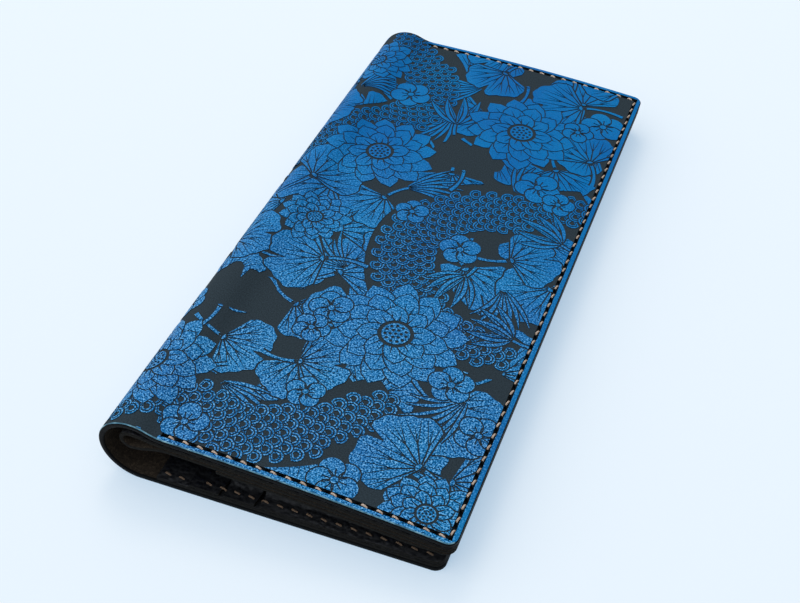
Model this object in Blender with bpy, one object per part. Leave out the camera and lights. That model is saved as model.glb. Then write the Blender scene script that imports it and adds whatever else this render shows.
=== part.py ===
"""Long bifold clutch wallet in leather, lying shut on its rear cover.

X runs across the wallet, from the bent spine at -X to the open edge at +X.
Y runs along the spine and Z is up. The origin is on the table, under the middle of the wallet.
All sizes are in metres and all angles in radians.
"""
import math

import bmesh
import bpy
from mathutils import Matrix, Vector

# Overall size
LENGTH = 0.200
WIDTH = 0.097
OVERHANG = 0.003
EDGE_HEIGHT = 0.0124
CORNER_R = 0.003

# Cover leather and its bend
COVER_T = 0.0016
SPINE_R = 0.0105
HUMP_ANGLE = math.radians(25)
DIP_R = 0.014
CROWN = 0.0009
GAP = 0.0003

# Hand stitching
STITCH_PITCH = 0.004
STITCH_INSET = 0.0021
THREAD_W = 0.0008
THREAD_T = 0.0004
THREAD_NIP = 0.5
THREAD_SINK = 0.0003
GROOVE_W = 0.0015
GROOVE_DEPTH = 0.0008

# Folded zip pouch and slip panel under the front cover
LINING_T = 0.0011
SKIVED_T = 0.00065
SKIVE_RUN = 0.012
FOLD_R = 0.0030
FOLD_INSET = 0.0069
FOLD_DROP = 0.0060
BULGE = 0.0028
BULGE_RUN = 0.0105
SLIP_FROM_ZIP = 0.0083

# Zip
ZIP_FROM_DIP = 0.0056
WINDOW_W = 0.008
WINDOW_END = 0.018
TAPE_W = 0.007
TAPE_T = 0.0005
TAPE_PAST_WINDOW = 0.004
TOOTH_PITCH = 0.0022
TOOTH_Y = 0.0011
TOOTH_X = 0.0018
TOOTH_Z = 0.0022
CORD_W = 0.0006
LANE = 0.0007
STOP_Y = 0.0016
STOP_FROM_END = 0.0034
SLIDER_L = 0.009
SLIDER_PLATE_T = 0.0007
SLIDER_FLOAT = 0.0003
BAIL_W = 0.0016
BAIL_T = 0.0006
BAIL_L = 0.0060
PULL_L = 0.020
PULL_W = 0.0045
PULL_T = 0.0008
PULL_EYE_L = 0.0032
PULL_FLOAT = 0.0005

# Note panel and card pockets on the rear cover
NOTE_T = 0.0010
NOTE_MOUTH = 0.005
POCKET_T = 0.0008
POCKET_ROWS = 3
FIRST_STEP = 0.0095
STEP = 0.010
FOOT_INSET = 0.011
SHOULDER = 0.0012
RAMP_RUN = 0.0030
STEM_BAND = 0.0008

# Places that follow from the sizes
BACK_X = -WIDTH / 2
FRONT_EDGE_X = WIDTH / 2
REAR_EDGE_X = FRONT_EDGE_X - OVERHANG
BEND_X = BACK_X + SPINE_R
BEND_Z = SPINE_R
HALF_L = LENGTH / 2
# The bend opens about two lines, set so that the leather keeps its length when the wallet lies flat.
SEAM_ANGLE = math.asin(math.pi / 2 - 1)
# Flat margins round the linings, where the stitches run, and the ramps inside them
FLAT_MARGIN = CORNER_R + GAP
STEM_INSET = FLAT_MARGIN + RAMP_RUN + GAP
FOOT_RAMP = FOOT_INSET - FLAT_MARGIN - GAP
ARC_STEP = math.radians(10)
CORNER_STEPS = 4


def dip_end(slope):
    """Where the dip behind the spine's hump ends, if it ends at this downward slope."""
    x = BEND_X + SPINE_R * math.sin(HUMP_ANGLE) + DIP_R * (math.sin(HUMP_ANGLE) - math.sin(slope))
    z = BEND_Z + SPINE_R * math.cos(HUMP_ANGLE) - DIP_R * (math.cos(slope) - math.cos(HUMP_ANGLE))
    return x, z


def front_slopes():
    """Downward slopes of the crowned front panel, at the dip and at the open edge."""
    start = end = 0.0
    for _ in range(40):
        x, z = dip_end(start)
        run = FRONT_EDGE_X - x
        fall = z - EDGE_HEIGHT
        half_turn = 2 * math.atan(2 * CROWN / math.hypot(run, fall))
        start = math.atan2(fall, run) - half_turn
        end = math.atan2(fall, run) + half_turn
    return start, end


SLOPE_START, SLOPE_END = front_slopes()
DIP_X, DIP_Z = dip_end(SLOPE_START)
CROWN_R = (FRONT_EDGE_X - DIP_X) / (math.sin(SLOPE_END) - math.sin(SLOPE_START))

# The cover's outer face in section: pieces of (length, turn), from the rear cover's open edge,
# round the spine, over the hump, through the dip and along the crowned front panel.
OUTLINE = [
    (REAR_EDGE_X - BEND_X, 0.0),
    (SPINE_R * (math.pi + HUMP_ANGLE), -(math.pi + HUMP_ANGLE)),
    (DIP_R * (HUMP_ANGLE - SLOPE_START), HUMP_ANGLE - SLOPE_START),
    (CROWN_R * (SLOPE_END - SLOPE_START), SLOPE_START - SLOPE_END),
]
S_BEND = OUTLINE[0][0]
S_LOW_SEAM = S_BEND + SPINE_R * (math.pi / 2 - SEAM_ANGLE)
S_HIGH_SEAM = S_BEND + SPINE_R * (math.pi / 2 + SEAM_ANGLE)
S_DIP = S_BEND + OUTLINE[1][0] + OUTLINE[2][0]
S_END = S_DIP + OUTLINE[3][0]
S_ZIP = S_DIP + ZIP_FROM_DIP
S_SLIP = S_ZIP + SLIP_FROM_ZIP


def outline_at(s):
    """Point and heading on the cover's outer face, a distance s along its section."""
    x, z, heading = REAR_EDGE_X, 0.0, math.pi
    for length, turn in OUTLINE:
        part = min(s, length)
        angle = turn * part / length
        if abs(turn) < 1e-9:
            x += part * math.cos(heading)
            z += part * math.sin(heading)
        else:
            radius = length / turn
            x += radius * (math.sin(heading + angle) - math.sin(heading))
            z -= radius * (math.cos(heading + angle) - math.cos(heading))
        heading += angle
        s -= part
        if s <= 0:
            break
    return x, z, heading


def inside(s, depth, y=0.0):
    """A point at a depth under the cover's outer face."""
    x, z, heading = outline_at(s)
    return Vector((x + depth * math.sin(heading), y, z - depth * math.cos(heading)))


def stations(start, end):
    """Distances along the section, close enough together for its bends and rounded corners."""
    marks = {start, end}
    at = 0.0
    for length, turn in OUTLINE:
        steps = max(1, math.ceil(abs(turn) / ARC_STEP))
        if abs(turn) < ARC_STEP and turn:
            steps = 6
        marks.update(at + length * i / steps for i in range(steps + 1))
        at += length
    for i in range(1, CORNER_STEPS + 1):
        corner = CORNER_R * (1 - math.cos(math.pi / 2 * i / CORNER_STEPS))
        marks.update((corner, S_END - corner))
    kept = sorted(s for s in marks if start <= s <= end)
    tidy = [kept[0]]
    for s in kept[1:]:
        if s - tidy[-1] > 1e-5:
            tidy.append(s)
    tidy[-1] = end
    return tidy


def corner_inset(edge):
    """How far a rounded corner draws in the side, at a distance from the open edge."""
    if edge >= CORNER_R:
        return 0.0
    return CORNER_R - math.sqrt(max(0.0, CORNER_R ** 2 - (CORNER_R - edge) ** 2))


def half_length(s):
    """Half the cover's length at s, less at its rounded corners."""
    return HALF_L - corner_inset(min(s, S_END - s))


def smooth(t):
    """Smooth step from 0 to 1."""
    t = max(0.0, min(1.0, t))
    return t * t * (3 - 2 * t)


def finish(name, colour, roughness, metallic=0.0):
    """A Principled material from an sRGB hex colour."""
    material = bpy.data.materials.new(name)
    material.use_nodes = True
    shader = material.node_tree.nodes["Principled BSDF"]
    channels = [int(colour[i:i + 2], 16) / 255 for i in (0, 2, 4)]
    linear = [c / 12.92 if c <= 0.04045 else ((c + 0.055) / 1.055) ** 2.4 for c in channels]
    shader.inputs["Base Color"].default_value = (*linear, 1.0)
    shader.inputs["Roughness"].default_value = roughness
    shader.inputs["Metallic"].default_value = metallic
    return material


def cover_leather(name):
    return finish(f"{name}_dyed_leather", "14507F", 0.5)


def lining_leather(name):
    return finish(f"{name}_black_leather", "17181C", 0.55)


def waxed_thread(name):
    return finish(f"{name}_waxed_thread", "C8A47C", 0.7)


def zip_cloth(name):
    return finish(f"{name}_woven_tape", "101013", 0.9)


def zip_metal(name):
    return finish(f"{name}_brass", "B08D4F", 0.3, 1.0)


def add_object(name, mesh_data, material):
    """Turn a bmesh into an object with its faces pointing out."""
    bmesh.ops.recalc_face_normals(mesh_data, faces=mesh_data.faces)
    mesh = bpy.data.meshes.new(name)
    mesh_data.to_mesh(mesh)
    mesh_data.free()
    if material:
        mesh.materials.append(material(name))
    obj = bpy.data.objects.new(name, mesh)
    bpy.context.scene.collection.objects.link(obj)
    return obj


def add_sheet(name, rows, material):
    """A closed thick sheet from rows of (outer, inner) point pairs."""
    bm = bmesh.new()
    outer = [[bm.verts.new(pair[0]) for pair in row] for row in rows]
    inner = [[bm.verts.new(pair[1]) for pair in row] for row in rows]
    for face in (outer, inner):
        for row, following in zip(face, face[1:]):
            for j in range(len(row) - 1):
                bm.faces.new((row[j], row[j + 1], following[j + 1], following[j]))
    for i in range(len(rows) - 1):
        for j in (0, -1):
            bm.faces.new((outer[i][j], outer[i + 1][j], inner[i + 1][j], inner[i][j]))
    for i in (0, -1):
        for j in range(len(rows[0]) - 1):
            bm.faces.new((outer[i][j], outer[i][j + 1], inner[i][j + 1], inner[i][j]))
    return add_object(name, bm, material)


def add_prism(name, outline, low, high, material, axis=2):
    """A closed prism: an outline in two axes, run from low to high along the third."""
    bm = bmesh.new()
    rings = []
    for level in (low, high):
        ring = []
        for point in outline:
            corner = list(point)
            corner.insert(axis, level)
            ring.append(bm.verts.new(corner))
        rings.append(ring)
    bm.faces.new(rings[0])
    bm.faces.new(rings[1])
    for i in range(len(outline)):
        j = (i + 1) % len(outline)
        bm.faces.new((rings[0][i], rings[0][j], rings[1][j], rings[1][i]))
    return add_object(name, bm, material)


def as_guide(obj):
    """Keep an object as a hidden tool for a Boolean."""
    obj.hide_render = True
    obj.display_type = "WIRE"
    return obj


def combine(obj, tool, operation):
    """Add an exact Boolean with a hidden tool."""
    modifier = obj.modifiers.new(tool.name, "BOOLEAN")
    modifier.object = as_guide(tool)
    modifier.operation = operation
    modifier.solver = "EXACT"


def lining_thickness(s):
    """Thickness of the front lining leather, skived thinner towards the open edge."""
    return SKIVED_T + (LINING_T - SKIVED_T) * min(1.0, (S_END - s) / SKIVE_RUN)


def layer_depth(layer, s):
    """Depth of a front lining layer's upper and lower face under the cover's outer face."""
    thickness = lining_thickness(s)
    top = COVER_T + GAP + layer * (thickness + GAP)
    return top, top + thickness


def bulge(x, y):
    """How far the pouch's face stands away from its back, to hold the zip."""
    rise = smooth((x - FOLD_X) / (DIP_X - FOLD_X))
    slip_x = outline_at(S_SLIP)[0]
    fall = 1 - smooth((x - slip_x) / (FRONT_EDGE_X - SKIVE_RUN - slip_x))
    side = smooth((HALF_L - FLAT_MARGIN - abs(y)) / BULGE_RUN)
    return BULGE * rise * fall * side


FOLD_MID_R = FOLD_R - LINING_T / 2
FOLD_X = BACK_X + FOLD_INSET + FOLD_R
FOLD_Z = BEND_Z + SPINE_R - FOLD_DROP


def lowered(point, y):
    """The same point carried down by the pouch's bulge."""
    return Vector((point.x, y, point.z - bulge(point.x, y)))


def pouch_sides():
    """Positions across the length where the pouch's bulge changes."""
    near = [FLAT_MARGIN + BULGE_RUN * i / 4 for i in range(5)]
    return [-HALF_L] + [d - HALF_L for d in near] + [HALF_L - d for d in reversed(near)] + [HALF_L]


def layer_pairs(layer, marks, outer_up):
    """Section points of a front lining layer, as (outer, inner) pairs with the half length."""
    pairs = []
    for s in marks:
        top, bottom = (inside(s, depth) for depth in layer_depth(layer, s))
        pair = (top, bottom) if outer_up else (bottom, top)
        pairs.append((*pair, half_length(s)))
    return pairs


def fold_pairs():
    """Section points of the pouch's fold beside the spine."""
    top, bottom = layer_depth(0, S_DIP)
    back = inside(S_DIP, (top + bottom) / 2)
    top, bottom = layer_depth(1, S_DIP)
    face = inside(S_DIP, (top + bottom) / 2)
    steps = 5
    centres = []
    for i in range(1, steps + 1):
        x = back.x + (FOLD_X - back.x) * i / steps
        centres.append(Vector((x, 0, back.z + (FOLD_Z + FOLD_MID_R - back.z) * smooth(i / steps))))
    for i in range(1, 9):
        angle = math.pi / 2 + math.pi * i / 8
        centres.append(Vector((FOLD_X + FOLD_MID_R * math.cos(angle), 0,
                               FOLD_Z + FOLD_MID_R * math.sin(angle))))
    for i in range(1, steps):
        x = FOLD_X + (face.x - FOLD_X) * i / steps
        low = FOLD_Z - FOLD_MID_R
        centres.append(Vector((x, 0, low + (face.z - low) * smooth(i / steps))))
    pairs = []
    chain = [back] + centres + [face]
    for before, centre, after in zip(chain, chain[1:], chain[2:]):
        along = (after - before).normalized()
        outward = Vector((along.z, 0, -along.x)) * (-LINING_T / 2)
        pairs.append((centre - outward, centre + outward, HALF_L))
    return [(inner, outer, half) for outer, inner, half in pairs]


def add_thread(name, path, closed=False):
    """A row of saddle stitches as one thread, nipped in at each hole.

    path holds the holes and the middles of the stitches in turn, as (point, normal, middle or not).
    """
    bm = bmesh.new()
    rings = []
    count = len(path)
    for i, (point, normal, middle) in enumerate(path):
        before = path[(i - 1) % count if closed else max(0, i - 1)][0]
        after = path[(i + 1) % count if closed else min(count - 1, i + 1)][0]
        across = normal.cross(after - before).normalized()
        size = 1.0 if middle else THREAD_NIP
        half_w, thickness = THREAD_W / 2 * size, THREAD_T * size
        corners = (point - across * half_w, point + across * half_w, point + normal * thickness)
        rings.append([bm.verts.new(corner) for corner in corners])
    spans = list(zip(rings, rings[1:])) + ([(rings[-1], rings[0])] if closed else [])
    for ring, following in spans:
        for j in range(3):
            k = (j + 1) % 3
            bm.faces.new((ring[j], ring[k], following[k], following[j]))
    if not closed:
        bm.faces.new(rings[0])
        bm.faces.new(rings[-1])
    return add_object(name, bm, waxed_thread)


def edge_path(total, first_edge):
    """Holes and stitch middles of a cover's rows, as (distance from its open edge, y, middle)."""
    side = HALF_L - STITCH_INSET
    half = STITCH_PITCH / 2
    count = int((total - STITCH_INSET - first_edge) / STITCH_PITCH + 0.5)
    short = [(STITCH_INSET + half * i, i % 2 == 1) for i in range(2 * count + 1)]
    count = int(2 * side / STITCH_PITCH + 0.5)
    step = side / count
    path = [(edge, -side, middle) for edge, middle in reversed(short)]
    path += [(STITCH_INSET, step * i - side, i % 2 == 1) for i in range(1, 2 * count)]
    path += [(edge, side, middle) for edge, middle in short]
    return path


def build_cover():
    """The cover: one hide in three stretches, parted where the spine opens."""
    seam = GAP / 2
    stretches = {
        "rear_cover": (0.0, S_LOW_SEAM - seam),
        "spine": (S_LOW_SEAM + seam, S_HIGH_SEAM - seam),
        "front_cover": (S_HIGH_SEAM + seam, S_END),
    }
    covers = {}
    for name, (start, end) in stretches.items():
        rows = []
        for s in stations(start, end):
            half = half_length(s)
            rows.append([(inside(s, 0, y), inside(s, COVER_T, y)) for y in (-half, half)])
        covers[name] = add_sheet(name, rows, cover_leather)
    groove_row_ends = {
        "rear_cover": (STITCH_INSET, S_BEND - NOTE_MOUTH),
        "front_cover": (S_END - STITCH_INSET, S_DIP - STITCH_PITCH / 2),
    }
    for name, (edge_s, inner_s) in groove_row_ends.items():
        cut_groove(covers[name], edge_s, inner_s)


def cut_groove(cover, edge_s, inner_s):
    """Cut the channel that the stitches lie in: along the open edge and up both short edges."""
    half_w = GROOVE_W / 2
    side = HALF_L - STITCH_INSET
    low, high = sorted((edge_s, inner_s))
    lanes = {
        "edge": (edge_s - half_w, edge_s + half_w, -side - half_w, side + half_w),
        "near": (low - half_w, high + half_w, -side - half_w, -side + half_w),
        "far": (low - half_w, high + half_w, side - half_w, side + half_w),
    }
    for lane, (start, end, y0, y1) in lanes.items():
        rows = []
        for s in stations(start, end):
            rows.append([(inside(s, -COVER_T, y), inside(s, GROOVE_DEPTH, y)) for y in (y0, y1)])
        tool = add_sheet(f"{cover.name}_groove_{lane}", rows, None)
        combine(cover, tool, "DIFFERENCE")


def build_front_lining():
    """The folded zip pouch and the slip panel sewn over the lower part of its face."""
    marks = stations(S_DIP, S_END)
    section = layer_pairs(0, reversed(marks), True) + fold_pairs() + layer_pairs(1, marks, False)
    face_start = len(section) - len(marks)
    rows = []
    for i, (outer, inner, half) in enumerate(section):
        row = []
        for y in pouch_sides():
            y = max(-half, min(half, y))
            drops = i >= face_start or (inner.z + outer.z) / 2 < FOLD_Z and inner.x > FOLD_X
            if drops:
                row.append((lowered(outer, y), lowered(inner, y)))
            else:
                row.append((Vector((outer.x, y, outer.z)), Vector((inner.x, y, inner.z))))
        rows.append(row)
    pouch = add_sheet("zip_pouch", rows, lining_leather)
    combine(pouch, add_window_cutter(), "DIFFERENCE")

    rows = []
    for outer, inner, half in layer_pairs(2, stations(S_SLIP, S_END), False):
        sides = [max(-half, min(half, y)) for y in pouch_sides()]
        rows.append([(lowered(outer, y), lowered(inner, y)) for y in sides])
    add_sheet("slip_panel", rows, lining_leather)


def zip_frame():
    """Middle of the zip's chain in section, and its downward slope."""
    x, _, heading = outline_at(S_ZIP)
    depth = layer_depth(1, S_ZIP)[0] - GAP - TAPE_T / 2
    centre = inside(S_ZIP, depth)
    return Vector((centre.x, 0, centre.z - BULGE)), -heading


def set_in_zip(obj, y=0.0):
    """Stand an object that is modelled about the zip's middle in its place."""
    centre, slope = zip_frame()
    obj.matrix_world = Matrix.Translation((centre.x, y, centre.z)) @ Matrix.Rotation(slope, 4, "Y")
    return obj


def add_window_cutter():
    """The tool that cuts the round-ended zip window through the pouch's face only."""
    radius = WINDOW_W / 2
    reach = HALF_L - WINDOW_END - radius
    outline = []
    for end, start_angle in ((reach, 0.0), (-reach, math.pi)):
        for i in range(7):
            angle = start_angle + math.pi * i / 6
            outline.append((radius * math.cos(angle), end + radius * math.sin(angle)))
    tool = add_prism("zip_window_cutter", outline, -3 * LINING_T, TAPE_T, None)
    return set_in_zip(tool)


def build_zip():
    """Tapes, teeth, stops, slider and pull."""
    build_tapes()
    build_teeth()
    build_stops()
    build_slider()
    build_pull()


def build_tapes():
    """Two woven tapes behind the window, one along each row of teeth."""
    half = HALF_L - WINDOW_END + TAPE_PAST_WINDOW
    inner_edge = LANE / 2 + TOOTH_X + GAP
    for name, sign in (("zip_tape_spine_side", -1), ("zip_tape_open_side", 1)):
        rows = []
        for i in range(5):
            s = S_ZIP + sign * (inner_edge + (TAPE_W - inner_edge) * i / 4)
            top = layer_depth(1, s)[0]
            low, high = inside(s, top - GAP), inside(s, top - GAP - TAPE_T)
            rows.append([(lowered(low, y), lowered(high, y)) for y in (-half, half)])
        add_sheet(name, rows, zip_cloth)


def build_teeth():
    """Two combs of teeth on a corded edge, with a lane between them for the slider's wedge."""
    reach = HALF_L - WINDOW_END - STOP_FROM_END - STOP_Y
    count = int((2 * reach - TOOTH_PITCH) / TOOTH_PITCH)
    for name, sign, shift in (("zip_teeth_spine_side", -1, 0.0), ("zip_teeth_open_side", 1, 0.5)):
        tip, root = sign * LANE / 2, sign * (LANE / 2 + TOOTH_X - CORD_W)
        back = sign * (LANE / 2 + TOOTH_X)
        outline = []
        for i in range(count):
            y = TOOTH_PITCH * (i + shift) - reach + TOOTH_Y / 2
            outline += [(root, y), (tip, y), (tip, y + TOOTH_Y), (root, y + TOOTH_Y)]
        outline += [(back, outline[-1][1]), (back, outline[0][1])]
        set_in_zip(add_prism(name, outline, -TOOTH_Z / 2, TOOTH_Z / 2, zip_metal))


def build_stops():
    """A wide stop at the bottom of the chain and one on each tape at its top."""
    stop_y = HALF_L - WINDOW_END - STOP_FROM_END
    near, far = LANE / 2, LANE / 2 + TOOTH_X
    stops = (("zip_bottom_stop", -far, far, -stop_y), ("zip_top_stop_spine_side", -far, -near, stop_y),
             ("zip_top_stop_open_side", near, far, stop_y))
    for name, low, high, y in stops:
        bevel = STOP_Y / 4
        outline = [(low + bevel, y - STOP_Y / 2), (high - bevel, y - STOP_Y / 2),
                   (high, y - STOP_Y / 2 + bevel), (high, y + STOP_Y / 2 - bevel),
                   (high - bevel, y + STOP_Y / 2), (low + bevel, y + STOP_Y / 2),
                   (low, y + STOP_Y / 2 - bevel), (low, y - STOP_Y / 2 + bevel)]
        set_in_zip(add_prism(name, outline, -TOOTH_Z / 2, TOOTH_Z / 2, zip_metal))


# The slider is drawn about its own middle: +Z towards the pouch's back, -Z out of the window.
SLIDER_Y = HALF_L - WINDOW_END - STOP_FROM_END - STOP_Y / 2 - GAP - SLIDER_L / 2
PLATE_IN = TOOTH_Z / 2 + SLIDER_FLOAT
PLATE_OUT = PLATE_IN + SLIDER_PLATE_T
SLIDER_HALF_W = WINDOW_W / 2 - GAP
BAIL_CLEAR = PULL_FLOAT + PULL_T + GAP
PULL_PIN_Z = -(PLATE_OUT + PULL_FLOAT + PULL_T / 2)


def build_slider():
    """Slider: two plates joined by a wedge, with a bail on the outer plate for the pull."""
    half_l = SLIDER_L / 2
    shoulder = SLIDER_HALF_W
    waist = 0.75 * SLIDER_HALF_W
    nose = 0.7 * SLIDER_HALF_W
    plate = [(-shoulder, 0.5 * half_l), (-waist, -half_l), (waist, -half_l),
             (shoulder, 0.5 * half_l), (nose, half_l), (-nose, half_l)]
    slider = set_in_zip(add_prism("zip_slider", plate, -PLATE_OUT, -PLATE_IN, zip_metal), SLIDER_Y)
    inner = set_in_zip(add_prism("slider_inner_plate", plate, PLATE_IN, PLATE_OUT, None), SLIDER_Y)
    wedge_x = LANE / 2 - GAP / 2
    wedge = [(-wedge_x, 0.35 * half_l), (0, 0.1 * half_l), (wedge_x, 0.35 * half_l),
             (wedge_x, 0.85 * half_l), (-wedge_x, 0.85 * half_l)]
    bite = SLIDER_PLATE_T / 2
    post = set_in_zip(add_prism("slider_wedge", wedge, -PLATE_IN - bite, PLATE_IN + bite, None),
                      SLIDER_Y)
    half = BAIL_L / 2
    top = -PLATE_OUT - BAIL_CLEAR
    root = -PLATE_OUT + bite
    arch = [(-half, root), (-half, top - BAIL_T / 2), (-half + BAIL_T / 2, top - BAIL_T),
            (half - BAIL_T / 2, top - BAIL_T), (half, top - BAIL_T / 2), (half, root),
            (half - BAIL_T, root), (half - BAIL_T, top), (-half + BAIL_T, top), (-half + BAIL_T, root)]
    bail = set_in_zip(add_prism("slider_bail", arch, -BAIL_W / 2, BAIL_W / 2, None, axis=0), SLIDER_Y)
    for tool in (post, inner, bail):
        combine(slider, tool, "UNION")


def build_pull():
    """Pull tab: a flat tab with an eye whose end bar passes under the bail."""
    bar = PULL_T / 2
    tip = -PULL_L
    half = PULL_W / 2
    taper = 0.8 * half
    tab = [(-half, bar), (-half, tip + half), (-taper, tip), (taper, tip), (half, tip + half),
           (half, bar)]
    pull = add_prism("zip_pull", tab, -PULL_T / 2, PULL_T / 2, zip_metal)
    eye_x = BAIL_W / 2 + GAP
    eye = [(-eye_x, -bar), (eye_x, -bar), (eye_x, -bar - PULL_EYE_L), (-eye_x, -bar - PULL_EYE_L)]
    cutter = add_prism("zip_pull_eye", eye, -PULL_T, PULL_T, None)
    centre, slope = zip_frame()
    frame = Matrix.Translation((centre.x, SLIDER_Y, centre.z)) @ Matrix.Rotation(slope, 4, "Y")
    place = frame @ Matrix.Translation((0, 0, PULL_PIN_Z))
    pull.matrix_world = place
    cutter.matrix_world = place
    combine(pull, cutter, "DIFFERENCE")


def outward_at(s):
    """Direction that the cover's outer face looks in."""
    heading = outline_at(s)[2]
    return Vector((-math.sin(heading), 0, math.cos(heading)))


def build_front_threads():
    """The front cover's saddle stitches, in its groove and on the lining behind."""
    outside, inside_path = [], []
    for edge, y, middle in edge_path(S_END, S_DIP):
        s = S_END - edge
        outside.append((inside(s, THREAD_SINK + THREAD_T, y), outward_at(s), middle))
        layer = 2 if s > S_SLIP - STITCH_PITCH / 2 - GAP else 1
        depth = layer_depth(layer, s)[1] + GAP
        inside_path.append((inside(s, depth, y), -outward_at(s), middle))
    add_thread("front_thread_outside", outside)
    add_thread("front_thread_inside", inside_path)


def build_zip_thread():
    """The row that holds the zip in its window, all the way round."""
    row_x = WINDOW_W / 2 + STITCH_INSET
    row_y = HALF_L - WINDOW_END + STITCH_INSET
    long_count = int(2 * row_y / STITCH_PITCH + 0.5)
    short_count = int(2 * row_x / STITCH_PITCH + 0.5)
    long_step, short_step = row_y / long_count, row_x / short_count
    places = [(-row_x, long_step * i - row_y, i % 2 == 1) for i in range(2 * long_count)]
    places += [(short_step * i - row_x, row_y, i % 2 == 1) for i in range(2 * short_count)]
    places += [(row_x, row_y - long_step * i, i % 2 == 1) for i in range(2 * long_count)]
    places += [(row_x - short_step * i, -row_y, i % 2 == 1) for i in range(2 * short_count)]
    path = []
    for across, y, middle in places:
        s = S_ZIP + across
        point = inside(s, layer_depth(1, s)[1] + GAP)
        path.append((lowered(point, y), -outward_at(s), middle))
    add_thread("zip_thread", path, closed=True)


# Levels of the rear lining and the mouths and feet of its card pockets
NOTE_LOW = COVER_T + GAP
NOTE_TOP = NOTE_LOW + NOTE_T
POCKET_LOW = NOTE_TOP + GAP
NOTE_MOUTH_X = BEND_X + NOTE_MOUTH
POCKET_MOUTHS = [NOTE_MOUTH_X + FIRST_STEP + STEP * i for i in range(POCKET_ROWS)]
POCKET_FEET = [REAR_EDGE_X - FOOT_INSET - STEP * (POCKET_ROWS - 2 - i) for i in range(POCKET_ROWS - 1)]


def build_note_panel():
    """The panel sewn over the rear cover, which leaves the note pocket behind it."""
    rows = []
    for s in stations(0.0, REAR_EDGE_X - NOTE_MOUTH_X):
        half = half_length(s)
        x = REAR_EDGE_X - s
        rows.append([(Vector((x, y, NOTE_LOW)), Vector((x, y, NOTE_TOP))) for y in (-half, half)])
    add_sheet("note_panel", rows, lining_leather)


def pocket_lift(row, x, across):
    """How far a card pocket is raised over the stems of the pockets under it."""
    side = smooth((across - FLAT_MARGIN) / RAMP_RUN)
    foot = smooth((REAR_EDGE_X - FLAT_MARGIN - x) / FOOT_RAMP) if row == POCKET_ROWS - 1 else 1.0
    return row * (POCKET_T + GAP) * side * foot


def pocket_stations(row):
    """Places across the wallet where a card pocket's outline or height changes, as (x, narrow)."""
    mouth = POCKET_MOUTHS[row]
    if row < POCKET_ROWS - 1:
        bar_end = mouth + STEP - GAP
        return [(mouth, False), (bar_end - SHOULDER, False), (bar_end, True), (POCKET_FEET[row], True)]
    ramp_x = REAR_EDGE_X - FLAT_MARGIN - FOOT_RAMP
    places = [mouth] + [ramp_x + FOOT_RAMP * i / 4 for i in range(5)]
    for i in range(CORNER_STEPS + 1):
        places.append(REAR_EDGE_X - CORNER_R * (1 - math.sin(math.pi / 2 * i / CORNER_STEPS)))
    return [(x, False) for x in places]


def build_card_pockets():
    """Two columns of card pockets. All but the last are T-shaped, so that the sides stay thin."""
    for column, side in (("near", -1), ("far", 1)):
        for row in range(POCKET_ROWS):
            build_card_pocket(f"card_pocket_{column}_{row + 1}", side, row)


def build_card_pocket(name, side, row):
    """One card pocket, from its mouth to its foot or to the rear cover's edge."""
    wide = [0.0] + [FLAT_MARGIN + RAMP_RUN * i / 4 for i in range(5)]
    slim = [STEM_INSET + STEM_BAND * i / 5 for i in range(6)]
    rows = []
    for x, narrow in pocket_stations(row):
        margins = slim if narrow else wide
        corner = corner_inset(REAR_EDGE_X - x)
        inner_side = [GAP / 2 + margin for margin in margins]
        outer_side = [HALF_L - max(margin, corner) for margin in reversed(margins)]
        line = []
        for y in inner_side + outer_side:
            low_z = POCKET_LOW + pocket_lift(row, x, min(y - GAP / 2, HALF_L - y))
            line.append((Vector((x, side * y, low_z)), Vector((x, side * y, low_z + POCKET_T))))
        rows.append(line)
    add_sheet(name, rows, lining_leather)


def build_rear_threads():
    """The rear cover's saddle stitches, in its groove and on the lining above."""
    up = Vector((0, 0, 1))
    outside, inside_path = [], []
    for edge, y, middle in edge_path(REAR_EDGE_X, NOTE_MOUTH_X + STITCH_INSET):
        x = REAR_EDGE_X - edge
        outside.append((Vector((x, y, THREAD_SINK + THREAD_T)), -up, middle))
        in_pockets = x > POCKET_MOUTHS[0] - STITCH_PITCH / 2 - GAP
        top = POCKET_LOW + POCKET_T if in_pockets else NOTE_TOP
        inside_path.append((Vector((x, y, top + GAP)), up, middle))
    add_thread("rear_thread_outside", outside)
    add_thread("rear_thread_inside", inside_path)


def build_divider_threads():
    """Two rows between the columns of card pockets."""
    start = POCKET_MOUTHS[0] + STITCH_INSET
    length = REAR_EDGE_X - STITCH_INSET - THREAD_W - start
    count = int(length / STITCH_PITCH)
    for name, side in (("divider_thread_near", -1), ("divider_thread_far", 1)):
        path = []
        for i in range(2 * count + 1):
            x = start + STITCH_PITCH / 2 * i
            point = Vector((x, side * (GAP / 2 + STITCH_INSET), POCKET_LOW + POCKET_T + GAP))
            path.append((point, Vector((0, 0, 1)), i % 2 == 1))
        add_thread(name, path)


def report():
    """Print the sizes and the joint axes that the record states."""
    middle_r = SPINE_R - COVER_T / 2
    hinge_x = BACK_X + COVER_T / 2
    rise = (math.pi / 2 - 1) * middle_r
    print("rear fold axis", hinge_x, BEND_Z - rise)
    print("front fold axis", hinge_x, BEND_Z + rise)
    centre, slope = zip_frame()
    frame = Matrix.Translation((centre.x, SLIDER_Y, centre.z)) @ Matrix.Rotation(slope, 4, "Y")
    print("pull pin", tuple(frame @ Vector((0, 0, PULL_PIN_Z))), "slope", slope)
    travel = SLIDER_Y + HALF_L - WINDOW_END - STOP_FROM_END - STOP_Y / 2 - GAP - SLIDER_L / 2
    print("slider travel", travel)


def main():
    for obj in list(bpy.context.scene.objects):
        bpy.data.objects.remove(obj, do_unlink=True)
    build_cover()
    build_front_lining()
    build_zip()
    build_front_threads()
    build_zip_thread()
    build_note_panel()
    build_card_pockets()
    build_rear_threads()
    build_divider_threads()
    bpy.context.view_layer.update()
    report()


main()
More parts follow.
